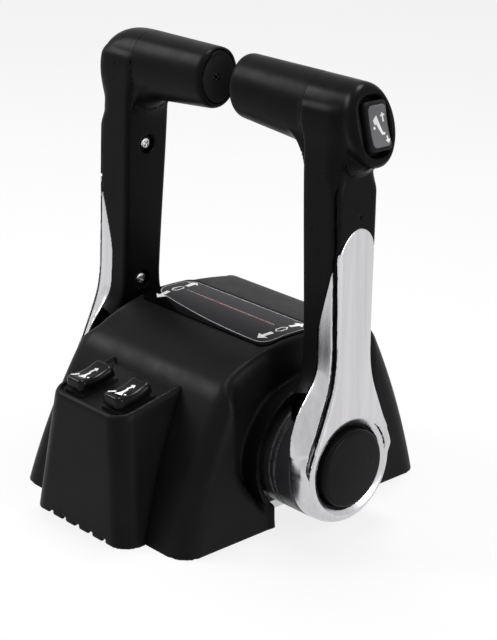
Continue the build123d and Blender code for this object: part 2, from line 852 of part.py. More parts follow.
def oval(x, low, width):
    """Oval section of the handle at x, from low up to the top of the grip."""
    plane = Plane(origin=(x, 0, (low + grip_top) / 2), x_dir=(0, 1, 0), z_dir=(1, 0, 0))
    return plane * Ellipse(width / 2, (grip_top - low) / 2)


def grip_form():
    """Handle from its free end to the seam."""
    end = oval(grip_end_x, grip_end_low, grip_end_width)
    return loft([end, oval(seam_x, grip_seam_low, grip_seam_width)], ruled=True)


def bar_form(gap):
    """Flat bar inside the arm, with its arm through the grip."""
    half = bar_half_width + gap
    low = bar_height - bar_half_height - gap
    high = bar_height + bar_half_height + gap
    upright = leaned(block(parting_u - gap, parting_u + bar_thickness + gap, -half, half,
                           bar_foot_height - gap, high))
    return upright + block(grip_end_x + grip_pocket - gap, seam_x + bar_overlap, -half, half, low, high)


def leaned_x_cylinder(radius, u0, u1, height):
    return leaned(x_cylinder(radius, u0, u1, 0, height))


def make_hub():
    """Hub with its riser for the bar. The outer face leans with the covers."""
    hub = x_cylinder(hub_radius, hub_inner_x, face_u)
    riser = leaned(block(parting_u - riser_thickness, parting_u, -riser_half_width, riser_half_width,
                         shaft_height, riser_height))
    hub = hub + riser - outside_parting()
    hub -= x_cylinder(shaft_radius, hub_inner_x - beyond, shaft_end_x)
    hub -= x_cylinder(bolt_shank_radius + fit_gap, shaft_end_x - beyond, bolt_head_x + beyond)
    hub -= x_cylinder(bolt_head_radius + bolt_well_gap, bolt_head_x, hub_cavity_x + beyond)
    return hub - x_cylinder(button_radius + button_lip + button_gap, hub_cavity_x, face_u)


def make_hub_bolt():
    bolt = x_cylinder(bolt_shank_radius, bolt_head_x - bolt_depth + bolt_well_gap, bolt_head_x)
    hexagon = Plane(origin=(bolt_head_x, 0, shaft_height), x_dir=(0, 1, 0), z_dir=(1, 0, 0))
    return bolt + extrude(hexagon * RegularPolygon(bolt_head_radius, 6), bolt_head_height)


def make_bar():
    bar = bar_form(0)
    for height in (lower_screw_height, upper_screw_height):
        bar -= leaned_x_cylinder(arm_screw_radius, arm_inner_u, face_u, height)
    tip = grip_end_x + grip_pocket + arm_screw_length
    return bar - x_cylinder(arm_screw_radius, grip_end_x, tip, 0, bar_height)


def arm_cavity():
    """Hollow of the arm between the two covers."""
    inset = arm_wall + chrome_wall
    inner = yz_prism(lever_outline(arm_wall), arm_inner_u + arm_wall, parting_u)
    outer = yz_prism(lever_outline(inset), parting_u, crease_u - inset)
    return leaned(inner + outer)


def inside_corner():
    """Web with a round edge between the arm's inner face and the underside of the grip."""
    x0 = seam_x - inside_corner_radius
    x1 = seam_x + arm_half_width / 2
    low = grip_seam_low - inside_corner_radius
    web = block(x0, x1, -arm_half_width, arm_half_width, low, grip_seam_low + inside_corner_radius)
    plane = Plane(origin=(x0, 0, low), x_dir=(1, 0, 0), z_dir=(0, -1, 0))
    return web - extrude(plane * Circle(inside_corner_radius), arm_half_width + beyond, both=True)


def outside_parting():
    """Everything on the outer side of the parting plane of a lever."""
    reach = 2 * hub_radius
    return leaned(block(parting_u, face_u + reach, -reach, reach, -reach, 2 * grip_top))


def make_arm_inner(corner, joined_corner):
    """Inner cover of the arm. On the plain lever it also holds the inner part of the corner."""
    arm = leaned(yz_prism(lever_outline(0), arm_inner_u, parting_u))
    neck_foot = shaft_height + hub_radius * math.sin(math.radians(neck_angle)) + neck_lift
    high = block(0, 2 * face_u, -hub_radius, hub_radius, neck_foot, grip_top)
    arm = (arm & high) + inside_corner()
    if joined_corner:
        arm += corner - outside_parting()
    else:
        arm -= corner
    arm -= x_cylinder(hub_radius + fit_gap, 0, face_u)
    arm -= grip_form()
    arm -= arm_cavity()
    low_u = arm_inner_u - beyond
    for height in (lower_screw_height, upper_screw_height):
        arm += leaned_x_cylinder(screw_boss_radius, arm_inner_u + arm_wall, parting_u - fit_gap, height)
    for height in (lower_screw_height, upper_screw_height):
        arm -= leaned_x_cylinder(counterbore_radius, low_u, parting_u - arm_screw_seat, height)
        arm -= leaned_x_cylinder(arm_screw_radius + fit_gap, low_u, parting_u + beyond, height)
    arm -= leaned(block(parting_u - riser_thickness - fit_gap, parting_u, -riser_half_width - fit_gap,
                        riser_half_width + fit_gap, shaft_height, riser_height + fit_gap))
    return arm - bar_form(fit_gap)


def make_arm_outer(chrome, corner, joined_corner):
    """Outer cover of the arm, carrying the bright cover and guiding the button."""
    reach = 2 * hub_radius
    arm = outer_form(0) & block(0, 2 * face_u, -reach, reach, -reach, arm_top)
    if joined_corner:
        arm += corner & outside_parting()
    else:
        arm -= corner
    arm -= chrome
    arm -= arm_cavity() & block(0, 2 * face_u, -face_u, face_u, shaft_height + hub_radius, grip_top)
    arm -= x_cylinder(button_radius + button_gap, 0, 2 * face_u)
    lip_end = button_skirt_x + button_lip_length + seat_gap
    arm -= x_cylinder(button_radius + button_lip + button_gap, 0, lip_end)
    arm -= leaned(x_cylinder(chrome_opening_radius + beyond, face_u - ring_depth, 2 * face_u))
    return arm - bar_form(fit_gap)


def make_chrome():
    cover = (outer_form(0) - outer_form(chrome_wall)) & chrome_zone()
    return cover - x_cylinder(chrome_opening_radius, 0, 2 * face_u)


def pan_screw():
    """Pan head screw at the origin: shank along +X, head on the -X side of its seat."""
    screw = x_cylinder(arm_screw_radius, 0, arm_screw_length, 0, 0)
    screw += x_cylinder(arm_screw_head_radius, -arm_screw_head, 0, 0, 0)
    drive = Rot(0, 90, 0) * cross_recess(2 * arm_screw_radius, arm_screw_head / 2)
    return screw - Pos(-arm_screw_head, 0, 0) * drive


def make_lever_screws():
    """Three identical screws: two hold the arm's covers to the bar, one holds the grip cap."""
    seat_u = parting_u - arm_screw_seat
    arm = [leaned(Pos(seat_u, 0, height) * pan_screw())
           for height in (lower_screw_height, upper_screw_height)]
    end = Pos(grip_end_x + grip_pocket, 0, bar_height) * pan_screw()
    return Compound(children=arm + [end])


def grip_cap_pocket(gap, depth):
    plane = Plane(origin=(grip_end_x + grip_pocket, 0, bar_height), x_dir=(0, 1, 0), z_dir=(-1, 0, 0))
    return extrude(plane * Ellipse(grip_cap_width / 2 + gap, grip_cap_height / 2 + gap), depth)


def make_grip():
    grip = grip_form()
    end = grip.faces().sort_by(Axis.X)[0].edges()
    grip = fillet(end, grip_rim_radius)
    grip -= grip_cap_pocket(fit_gap, grip_pocket + beyond)
    return grip - bar_form(fit_gap)


def make_grip_cap():
    cap = grip_cap_pocket(0, grip_cap_thickness)
    return cap - x_cylinder(arm_screw_head_radius + fit_gap, grip_end_x, grip_end_x + grip_pocket,
                            0, bar_height)


# Warm-up button

def make_button():
    """Round cap, hollow behind, with a lip that keeps it in its ring."""
    lip_radius = button_radius + button_lip
    cap = x_cylinder(button_radius, button_skirt_x, button_face_x)
    cap = fillet(cap.faces().sort_by(Axis.X)[-1].edges(), button_edge)
    cap += x_cylinder(lip_radius, button_skirt_x, button_skirt_x + button_lip_length)
    inside = x_cylinder(button_radius - button_wall, button_skirt_x - beyond, button_face_x - button_wall)
    return cap - inside


def make_button_spring():
    """Coil spring between the hub and the button."""
    low = hub_cavity_x + button_spring_wire
    high = button_face_x - button_wall - button_spring_wire - seat_gap
    pitch = (high - low) / button_spring_turns
    path = Helix(pitch=pitch, height=high - low, radius=button_spring_radius)
    wire = Plane(origin=path @ 0, z_dir=path % 0) * Circle(button_spring_wire)
    coil = sweep(wire, path=path, is_frenet=True)
    return Pos(low, 0, shaft_height) * Rot(0, 90, 0) * coil


# Trim switch

def trim_plane(depth):
    """Plane of the switch face, sunk by depth. Its X runs along -Y and its Y up the face."""
    lean = math.radians(trim_tilt)
    normal = Vector(math.cos(lean), 0, math.sin(lean))
    origin = Vector(trim_face_x, 0, trim_face_height) - normal * depth
    return Plane(origin=origin, x_dir=(0, 1, 0), z_dir=normal)


def make_trim_housing():
    housing = port_corner()
    housing = fillet(housing.faces().sort_by(Axis.X)[-1].edges(), trim_rim_radius)
    pocket = trim_plane(trim_pocket_depth) * Ellipse(trim_pocket_wide / 2, trim_pocket_tall / 2)
    housing -= extrude(pocket, 2 * trim_pocket_depth)
    well = Rectangle(trim_body_wide + 2 * fit_gap, trim_body_long + 2 * fit_gap)
    housing -= extrude(trim_plane(trim_pocket_depth + trim_body_depth) * well, trim_body_depth + beyond)
    return housing - bar_form(fit_gap)


def make_trim_body():
    plane = trim_plane(trim_pocket_depth + trim_body_depth - fit_gap)
    body = extrude(plane * Rectangle(trim_body_wide, trim_body_long), trim_body_depth - fit_gap)
    swing = trim_rocker_long / 2 * math.sin(math.radians(trim_rocker_swing)) + pivot_gap
    floor = trim_plane(trim_pocket_depth + swing)
    well = Rectangle(trim_rocker_wide + 2 * pivot_gap, trim_rocker_long + 2 * pivot_gap)
    rib = Rectangle(trim_rocker_wide / 2, trim_rib_thickness)
    body -= extrude(floor * well, 2 * trim_pocket_depth)
    return body + extrude(floor * rib, swing + trim_pocket_depth - trim_pivot_depth - pivot_gap)


def make_trim_rocker():
    outline = RectangleRounded(trim_rocker_wide, trim_rocker_long, trim_rocker_corner)
    slab = extrude(trim_plane(trim_pivot_depth) * outline, trim_pivot_depth + trim_rocker_rise)
    crest = trim_plane(trim_dish_depth - trim_rocker_rise - trim_dish_radius)
    barrel = Plane(origin=crest.origin, x_dir=(0, 0, 1), z_dir=(0, 1, 0)) * Circle(trim_dish_radius)
    return slab - extrude(barrel, trim_rocker_wide, both=True)


# Switch pod

def pod_form(inset):
    """Leaning box of the pod, moved in by inset, with round front corners."""
    foot_half = pod_foot_half - inset
    top_half = pod_top_half - inset
    foot_y = inset - pod_foot_depth
    top_y = inset - pod_top_depth
    foot = Polygon((-foot_half, foot_y), (foot_half, foot_y), (foot_half, pod_back_y),
                   (-foot_half, pod_back_y), align=None)
    top = Polygon((-top_half, top_y), (top_half, top_y), (top_half, pod_back_y),
                  (-top_half, pod_back_y), align=None)
    form = loft([foot, Plane.XY.offset(pod_loft_height) * top], ruled=True)
    upright = [e for e in form.edges() if abs(e.center().Z - pod_loft_height / 2) < 1]
    front = sorted(upright, key=lambda e: e.center().Y)[:2]
    return fillet(front, pod_corner - inset)


def under_slope(drop, low):
    """Space from low up to the pod's sloping top, lowered by drop, in front of the cover's middle."""
    slope = math.tan(math.radians(pod_slope))
    far = -2 * pod_foot_depth
    front_z = pod_front_height - drop + slope * (far + pod_top_depth)
    back_z = pod_front_height - drop + slope * pod_top_depth
    outline = Polygon((far, low), (0, low), (0, back_z), (far, front_z), align=None)
    return yz_prism(outline, -2 * pod_foot_half, 2 * pod_foot_half)


def rocker_plane(x, lift):
    """Plane of a pod switch, parallel to the pod's sloping top, raised by lift above its recessed floor."""
    slope = math.radians(pod_slope)
    height = pod_front_height - pod_rim / math.cos(slope) + math.tan(slope) * (pod_switch_y + pod_top_depth)
    normal = Vector(0, -math.sin(slope), math.cos(slope))
    return Plane(origin=Vector(x, pod_switch_y, height) + normal * lift, x_dir=(1, 0, 0), z_dir=normal)


def make_pod():
    lean = math.cos(math.radians(pod_slope))
    inside = pod_form(pod_wall)
    body = pod_form(0) & under_slope(0, 0)
    body -= inside - under_slope(pod_rim / lean, -beyond)
    body -= inside & under_slope((pod_rim + pod_wall) / lean, -beyond)
    for x in (-pod_screw_x, pod_screw_x):
        plane = Plane(origin=(x, -post_y, pod_screw_height), x_dir=(1, 0, 0), z_dir=(0, -1, 0))
        body += extrude(plane * Circle(pod_post_radius), pod_foot_depth) & pod_form(pod_wall / 2)
    body -= cover_form(0, -beyond)
    for x in (-pod_screw_x, pod_screw_x):
        body -= y_hole(screw_radius, x)
    for x in (-pod_switch_x, pod_switch_x):
        hole = Rectangle(rocker_body_wide + 2 * fit_gap, rocker_body_long + 2 * fit_gap)
        body -= extrude(rocker_plane(x, -2 * pod_wall) * hole, 3 * pod_wall)
    front = pod_foot_depth + beyond
    for k in range(drain_count):
        x = (k - (drain_count - 1) / 2) * drain_pitch
        body -= block(x - drain_width / 2, x + drain_width / 2, -front, 2 * pod_wall - front,
                      -beyond, drain_height)
    return body


def make_pod_switch_bodies():
    solids = []
    box = Rectangle(rocker_body_wide, rocker_body_long)
    bezel = Rectangle(rocker_wide, rocker_long)
    for x in (-pod_switch_x, pod_switch_x):
        body = extrude(rocker_plane(x, -rocker_body_depth) * box, rocker_body_depth)
        solids.append(body + extrude(rocker_plane(x, 0) * bezel, rocker_bezel))
    return Compound(children=solids)


def make_pod_rocker(x):
    """Saddle shaped rocker above its switch body."""
    room = rocker_long / 2 * math.sin(math.radians(rocker_swing)) + rocker_lift
    outline = RectangleRounded(rocker_wide, rocker_long, rocker_corner)
    cap = extrude(rocker_plane(x, rocker_bezel + room) * outline, rocker_rise - room)
    crest = rocker_plane(x, rocker_bezel + rocker_rise + rocker_dish_radius - rocker_dish_depth)
    barrel = Plane(origin=crest.origin, x_dir=(0, 0, 1), z_dir=(1, 0, 0)) * Circle(rocker_dish_radius)
    cap -= extrude(barrel, rocker_wide, both=True)
    stem = Rectangle(rocker_stem_wide, rocker_stem_long)
    return cap + extrude(rocker_plane(x, rocker_bezel + rocker_lift) * stem, rocker_rise / 2)


def make_lever(name, side, corner, joined_corner):
    chrome = make_chrome()
    pieces = {
        "shaft": make_shaft(),
        "shaft_clip": retaining_clip(clip_inner_x, shaft_radius - clip_depth, 0),
        "drive_gear": make_drive_gear(),
        "throttle_arm": make_throttle_arm(),
        "throttle_pin": cable_pin(-throttle_reach, arm_inner_x, pinion_inner_x),
        "hub": make_hub(),
        "hub_bolt": make_hub_bolt(),
        "lever_bar": make_bar(),
        "arm_inner_cover": make_arm_inner(corner, joined_corner),
        "arm_outer_cover": make_arm_outer(chrome, corner, joined_corner),
        "chrome_cover": chrome,
        "lever_screws": make_lever_screws(),
        "grip": make_grip(),
        "grip_cap": make_grip_cap(),
        "button": make_button(),
        "button_spring": make_button_spring(),
        "shift_gear": make_shift_gear(),
        "shift_pin": cable_pin(axle_y - shift_pin_reach, sector_inner_x, sector_outer_x),
        "side_plate": make_side_plate(),
        "detent_spring": make_detent_spring(),
    }
    for piece, shape in pieces.items():
        export(side(shape), f"{name}_{piece}")


def main():
    export(make_cover(), "cover")
    export(make_label(), "label_plate")
    export(make_base_plate(), "base_plate")
    export(make_frame_screws(), "frame_screws")
    export(make_cable_sockets(), "cable_sockets")
    export(make_bushings(), "shaft_bushings")
    export(both_sides(make_friction_pad()), "friction_pads")
    export(both_sides(make_friction_screw()), "friction_screws")
    export(both_sides(make_shift_axle()), "shift_axles")
    export(both_sides(retaining_clip(sector_inner_x - seat_gap - clip_thickness,
                                     axle_radius - clip_depth, axle_y)), "shift_axle_clips")
    export(make_small_screws(), "small_screws")
    export(both_sides(make_neutral_switch()), "neutral_switches")
    export(make_pod(), "switch_pod")
    export(make_pod_switch_bodies(), "pod_switch_bodies")
    export(make_pod_rocker(pod_switch_x), "port_pod_rocker")
    export(make_pod_rocker(-pod_switch_x), "starboard_pod_rocker")
    make_lever("port", lambda shape: shape, port_corner(), False)
    make_lever("starboard", starboard, starboard_corner(), True)
    export(make_trim_housing(), "trim_housing")
    export(make_trim_body(), "trim_switch_body")
    export(make_trim_rocker(), "trim_rocker")


main()
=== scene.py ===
import json
import math
from functools import partial

import bmesh
import bpy
import numpy as np
from mathutils import Matrix, Vector


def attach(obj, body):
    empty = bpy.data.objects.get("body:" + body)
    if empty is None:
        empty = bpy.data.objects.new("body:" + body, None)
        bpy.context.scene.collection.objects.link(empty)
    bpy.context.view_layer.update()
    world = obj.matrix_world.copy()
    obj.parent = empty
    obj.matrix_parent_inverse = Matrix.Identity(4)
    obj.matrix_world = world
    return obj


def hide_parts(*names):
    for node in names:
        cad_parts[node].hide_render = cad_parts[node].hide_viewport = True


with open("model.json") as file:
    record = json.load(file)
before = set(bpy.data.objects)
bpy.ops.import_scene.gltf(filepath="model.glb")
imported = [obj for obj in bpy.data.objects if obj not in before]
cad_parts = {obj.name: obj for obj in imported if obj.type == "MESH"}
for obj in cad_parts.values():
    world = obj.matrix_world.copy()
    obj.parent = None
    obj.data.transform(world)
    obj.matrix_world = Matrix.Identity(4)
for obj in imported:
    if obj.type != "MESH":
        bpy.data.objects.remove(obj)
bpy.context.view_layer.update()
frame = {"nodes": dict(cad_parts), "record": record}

# Boat throttle control: finishes, softened mouldings, printed marks, light and camera.
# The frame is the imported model's: +X is the port lever, -Y is forward. Shapes are in
# millimetres and scaled by MM, and all else is in metres.

MM = 0.001
SIDES = (("port", 1), ("starboard", -1))


# Node helpers for materials

NOISE_SPREAD = (0.3, 0.7)


def empty_tree(owner):
    """The cleared node tree of a material or world."""
    owner.use_nodes = True
    owner.node_tree.nodes.clear()
    return owner.node_tree


def new_material(name):
    """A material with only its output and a principled shader."""
    material = bpy.data.materials.new(name)
    tree = empty_tree(material)
    output = tree.nodes.new("ShaderNodeOutputMaterial")
    shader = tree.nodes.new("ShaderNodeBsdfPrincipled")
    tree.links.new(shader.outputs["BSDF"], output.inputs["Surface"])
    return material, tree, shader


def object_coordinates(tree, scale=(1, 1, 1)):
    """Object coordinates, stretched by a scale for each axis."""
    source = tree.nodes.new("ShaderNodeTexCoord")
    mapping = tree.nodes.new("ShaderNodeMapping")
    mapping.inputs["Scale"].default_value = scale
    tree.links.new(source.outputs["Object"], mapping.inputs["Vector"])
    return mapping.outputs["Vector"]


def noise(tree, vector, size, detail=3.0, roughness=0.55):
    """Noise with features of a size in metres."""
    node = tree.nodes.new("ShaderNodeTexNoise")
    node.inputs["Scale"].default_value = 1 / size
    node.inputs["Detail"].default_value = detail
    node.inputs["Roughness"].default_value = roughness
    tree.links.new(vector, node.inputs["Vector"])
    return node.outputs["Fac"]


def spread(tree, value, low, high):
    """A 0 to 1 value spread between two others."""
    node = tree.nodes.new("ShaderNodeMapRange")
    node.inputs["From Min"].default_value, node.inputs["From Max"].default_value = NOISE_SPREAD
    node.inputs["To Min"].default_value = low
    node.inputs["To Max"].default_value = high
    tree.links.new(value, node.inputs["Value"])
    return node.outputs["Result"]


def blend_colors(tree, value, dark, light):
    """A colour between two, chosen by a 0 to 1 value."""
    ramp = tree.nodes.new("ShaderNodeValToRGB")
    for stop, position, color in zip(ramp.color_ramp.elements, NOISE_SPREAD, (dark, light)):
        stop.position = position
        stop.color = (*color, 1)
    tree.links.new(value, ramp.inputs["Fac"])
    return ramp.outputs["Color"]


def bump(tree, height, distance, strength=1.0):
    """Normal bumped by a height."""
    node = tree.nodes.new("ShaderNodeBump")
    node.inputs["Distance"].default_value = distance
    node.inputs["Strength"].default_value = strength
    tree.links.new(height, node.inputs["Height"])
    return node.outputs["Normal"]


def shade(color, factor):
    return tuple(channel * factor for channel in color)


# Materials

CLOUD_SIZE = 0.03
HANDLING_SIZE = 0.012
PLASTIC_TONES = (0.8, 1.25)
PLASTIC_GLOSS = (-0.04, 0.05)
METAL_TONES = (0.9, 1.06)
METAL_GLOSS = (-0.05, 0.06)


def plastic(name, color, roughness, specular=0.05, grain=0.0004, depth=0.00002):
    """Moulded plastic: fine grain, faint cloudy tone and handling marks in the gloss."""
    material, tree, shader = new_material(name)
    place = object_coordinates(tree)
    cloud = noise(tree, place, CLOUD_SIZE)
    tones = [shade(color, factor) for factor in PLASTIC_TONES]
    tree.links.new(blend_colors(tree, cloud, *tones), shader.inputs["Base Color"])
    gloss = [roughness + change for change in PLASTIC_GLOSS]
    tree.links.new(spread(tree, noise(tree, place, HANDLING_SIZE), *gloss),
                   shader.inputs["Roughness"])
    fine = bump(tree, noise(tree, place, grain, 2.0), depth, 0.6)
    tree.links.new(fine, shader.inputs["Normal"])
    shader.inputs["Specular IOR Level"].default_value = specular
    return material


def metal(name, color, roughness, stretch=(1, 1, 1), streak_and_reflection_size=0.002, depth=0.000004):
    """Bare metal with streaks in its tone: left by its making, and on the chrome, where they are
    stretched upright, painted reflection stripes.
    """
    material, tree, shader = new_material(name)
    place = object_coordinates(tree, stretch)
    shader.inputs["Metallic"].default_value = 1.0
    # Tone streaks. On the chrome, stretched upright, they are painted reflection stripes.
    tone = noise(tree, place, streak_and_reflection_size, 4.0)
    tones = [shade(color, factor) for factor in METAL_TONES]
    tree.links.new(blend_colors(tree, tone, *tones), shader.inputs["Base Color"])
    gloss = [roughness + change for change in METAL_GLOSS]
    tree.links.new(spread(tree, noise(tree, place, streak_and_reflection_size * 2), *gloss), shader.inputs["Roughness"])
    tree.links.new(bump(tree, tone, depth), shader.inputs["Normal"])
    return material


# Stretch that draws the chrome's tone streaks as tall upright stripes: painted reflection.
UPRIGHT_REFLECTION_STRETCH = (1, 1, 0.03)

# Maker, name, colour and roughness, then a plastic's specular, grain and grain depth, or a metal's
# stretch, streak size and streak depth. The chrome's streaks, stretched upright, are painted
# reflection stripes in its colour.
LOOKS = [
    (plastic, "cover_plastic", (0.0055, 0.0055, 0.006), 0.4, 0.07),
    (plastic, "pod_plastic", (0.0055, 0.0055, 0.006), 0.4, 0.07),
    (plastic, "label_film", (0.002, 0.002, 0.0024), 0.1, 0.01, 0.002, 0.000001),
    (plastic, "window_film", (0.006, 0.006, 0.008), 0.12, 0.06, 0.002, 0.000001),
    (plastic, "white_ink", (0.72, 0.72, 0.72), 0.4),
    (plastic, "pale_ink", (0.3, 0.3, 0.31), 0.4),
    (plastic, "red_ink", (0.28, 0.04, 0.05), 0.4),
    (metal, "plate_metal", (0.62, 0.63, 0.64), 0.38),
    (metal, "frame_metal", (0.50, 0.51, 0.52), 0.48),
    (metal, "steel", (0.62, 0.62, 0.61), 0.28),
    (metal, "dark_steel", (0.05, 0.05, 0.05), 0.35),
    (metal, "spring_steel", (0.42, 0.42, 0.41), 0.3),
    (metal, "gear_metal", (0.46, 0.45, 0.43), 0.35),
    (metal, "bronze", (0.62, 0.44, 0.22), 0.4),
    (plastic, "pad_plastic", (0.7, 0.68, 0.6), 0.5),
    (plastic, "socket_plastic", (0.02, 0.02, 0.02), 0.5),
    (plastic, "switch_plastic", (0.012, 0.012, 0.013), 0.45),
    (plastic, "pod_rocker_plastic", (0.003, 0.003, 0.0035), 0.24, 0.12),
    (plastic, "rocker_plastic", (0.13, 0.13, 0.135), 0.4),
    (plastic, "housing_plastic", (0.005, 0.005, 0.0055), 0.26),
    (plastic, "hub_metal", (0.03, 0.03, 0.033), 0.34, 0.4),
    (plastic, "arm_plastic", (0.005, 0.005, 0.0055), 0.34),
    # Chrome, with painted reflection: darker and lighter upright stripes in its colour.
    (metal, "bright_metal", (0.63, 0.62, 0.64), 0.26, UPRIGHT_REFLECTION_STRETCH, 0.004, 0.000002),
    (plastic, "grip_rubber", (0.005, 0.005, 0.0055), 0.36),
    (plastic, "cap_plastic", (0.006, 0.006, 0.0065), 0.4),
    (plastic, "button_plastic", (0.008, 0.008, 0.0085), 0.3),
]
materials = {name: make(name, *look) for make, name, *look in LOOKS}


def dress_nodes():
    """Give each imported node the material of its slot."""
    for entry in frame["record"]["subparts"]:
        mesh = frame["nodes"][entry["node"]].data
        mesh.materials.clear()
        mesh.materials.append(materials[entry["material_slot"]])


dress_nodes()


# Solids as distance fields, in millimetres: negative inside

SHARP_ANGLE = math.radians(35)
SETTLE_ROUNDS = 3
SHARPEN_ROUNDS = 4
LEAST_STEEPNESS = 0.2
EDGE_REACH = 0.6
PROBE = 0.1


def union(first, *others):
    for other in others:
        first = np.minimum(first, other)
    return first


def common(first, *others):
    for other in others:
        first = np.maximum(first, other)
    return first


def soft_union(a, b, radius):
    """Union with a fillet of about a radius where the two meet."""
    share = np.clip(0.5 + 0.5 * (b - a) / radius, 0, 1)
    return b + (a - b) * share - radius * share * (1 - share)


def soft_common(a, b, radius):
    """Common part with its edges rounded by about a radius."""
    return -soft_union(-a, -b, radius)


def soft_cut(a, b, radius):
    return soft_common(a, -b, radius)


def slab(value, low, high):
    """Distance to a slab along one coordinate."""
    return np.abs(value - (low + high) / 2) - (high - low) / 2


def ellipse(y, z, half_y, half_z):
    """Nearly the distance to an ellipse round the origin."""
    y = y + 1e-6  # keeps the middle off a division by zero
    near = np.sqrt((y / half_y) ** 2 + (z / half_z) ** 2)
    slope = np.sqrt((y / half_y ** 2) ** 2 + (z / half_z ** 2) ** 2)
    return near * (near - 1) / slope


def rounded_box(x, y, half_x, half_y, radius):
    """Distance to a rectangle with round corners, round the origin."""
    away_x = np.abs(x) - half_x + radius
    away_y = np.abs(y) - half_y + radius
    outside = np.sqrt(np.maximum(away_x, 0) ** 2 + np.maximum(away_y, 0) ** 2)
    return outside + np.minimum(np.maximum(away_x, away_y), 0) - radius


def smooth_step(value, low, high):
    """0 below a span and 1 above it, with a soft change between."""
    share = np.clip((value - low) / (high - low), 0, 1)
    return share * share * (3 - 2 * share)


CORNERS = [(i, j, k) for i in (0, 1) for j in (0, 1) for k in (0, 1)]
EDGES = [(a, b) for a in range(8) for b in range(a + 1, 8)
         if sum(p != q for p, q in zip(CORNERS[a], CORNERS[b])) == 1]


def net(field, low, high, step):
    """Closed quad net on a field's zero surface, with its points pulled onto the surface."""
    axes = [np.arange(a - 1.5 * step, b + 2.5 * step, step) for a, b in zip(low, high)]
    x, y, z = np.meshgrid(*axes, indexing="ij", sparse=True)
    whole = np.broadcast_to(field(x, y, z), [len(axis) for axis in axes])
    value = np.array(whole, dtype=np.float32)
    inside = value < 0
    cells = [n - 1 for n in value.shape]

    def corner(grid, offset):
        i, j, k = offset
        return grid[i:i + cells[0], j:j + cells[1], k:k + cells[2]]

    count = sum(corner(inside, offset).astype(np.int8) for offset in CORNERS)
    active = (count > 0) & (count < 8)
    index = np.full(cells, -1, np.int64)
    index[active] = np.arange(active.sum())
    cell = np.argwhere(active)
    values = [corner(value, offset)[active] for offset in CORNERS]
    place = np.zeros((len(cell), 3))
    hits = np.zeros(len(cell))
    for a, b in EDGES:
        crossing = (values[a] < 0) != (values[b] < 0)
        gap = np.where(crossing, values[a] - values[b], 1)
        share = np.where(crossing, values[a] / gap, 0)[:, None]
        start, end = np.array(CORNERS[a]), np.array(CORNERS[b])
        place += np.where(crossing[:, None], start + share * (end - start), 0)
        hits += crossing
    points = np.array([axis[0] for axis in axes]) + (cell + place / hits[:, None]) * step
    return settle(field, points, step), net_faces(inside, index)


def slope_at(field, points, reach):
    """Slope of a field at some points, from its values a reach to each side."""
    return np.stack([(field(*(points + reach * axis).T) - field(*(points - reach * axis).T))
                     / (2 * reach) for axis in np.eye(3)], axis=1)


def settle(field, points, step):
    """Move points along the field's slope onto its zero surface, by half a step at most."""
    start = points
    for _ in range(SETTLE_ROUNDS):
        here = field(*points.T)
        slope = slope_at(field, points, step / 4)
        steep = np.maximum((slope ** 2).sum(1), LEAST_STEEPNESS)
        points = points - slope * (here / steep)[:, None]
        points = start + np.clip(points - start, -step / 2, step / 2)
    return points


def net_faces(inside, index):
    """Quads round each grid edge that crosses the surface, all facing outward."""
    faces = []
    for axis in range(3):
        order = (axis, (axis + 1) % 3, (axis + 2) % 3)
        ends = np.moveaxis(inside, order, (0, 1, 2))
        cells = np.moveaxis(index, order, (0, 1, 2))
        crossing = ends[:-1, 1:-1, 1:-1] != ends[1:, 1:-1, 1:-1]
        i, j, k = np.nonzero(crossing)
        quad = np.stack([cells[i, j, k], cells[i, j + 1, k],
                         cells[i, j + 1, k + 1], cells[i, j, k + 1]], axis=1)
        outward = ends[:-1, 1:-1, 1:-1][crossing]
        faces.append(np.where(outward[:, None], quad, quad[:, ::-1]))
    return np.concatenate(faces)


def sharpen(points, step, skin, normal, offset):
    """Put the points near the edge between a skin and a plane exactly on both."""
    normal = np.array(normal)
    gap = points @ normal - offset
    near = (np.abs(gap) < EDGE_REACH * step) & (np.abs(skin(*points.T)) < EDGE_REACH * step)
    moved = points[near] - gap[near, None] * normal
    for _ in range(SHARPEN_ROUNDS):
        slope = slope_at(skin, moved, PROBE)
        slope -= (slope @ normal)[:, None] * normal
        steep = np.maximum((slope ** 2).sum(1), LEAST_STEEPNESS)
        moved = moved - slope * (np.clip(skin(*moved.T), -step, step) / steep)[:, None]
    points[near] = moved
    return points


def add_mesh(name, points, faces, body, look, replaced=()):
    """A smooth piece from points in millimetres, riding on a body."""
    mesh = bpy.data.meshes.new(name)
    mesh.from_pydata((points * MM).tolist(), [], faces.tolist())
    mesh.validate()
    mesh.shade_smooth()
    mesh.set_sharp_from_angle(angle=SHARP_ANGLE)
    mesh.materials.append(materials[look])
    piece = bpy.data.objects.new(name, mesh)
    bpy.context.scene.collection.objects.link(piece)
    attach(piece, body)
    if replaced:
        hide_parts(*replaced)


def add_form(name, field, low, high, step, body, slot, replaced=(), mirrored=False,
             seams=(), look=None):
    """A piece from a distance field, on the port side or mirrored to starboard."""
    points, faces = net(field, low, high, step)
    for skin, normal, offset in seams:
        points = sharpen(points, step, skin, normal, offset)
    if mirrored:
        points = points * (-1, 1, 1)
        faces = faces[:, ::-1]
    add_mesh(name, points, faces, body, look or slot, replaced)


# Lever sizes in millimetres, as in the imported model. A soft change has its start and end.

HUB_HEIGHT = 39.0
HUB_RADIUS = 33.0
HUB_INNER = 59.7
HUB_RINGS = (71.5, 75)
HUB_RING = (0.45, 0.7)
HUB_BORES = ((71, 8.0), (73, 4.1), (81, 9.0))
HUB_MOUTH = 24.6
RISER = (10, 6, 94)
PARTING = 87.0
SEAM = 0.03
LEAN = math.radians(2.1)

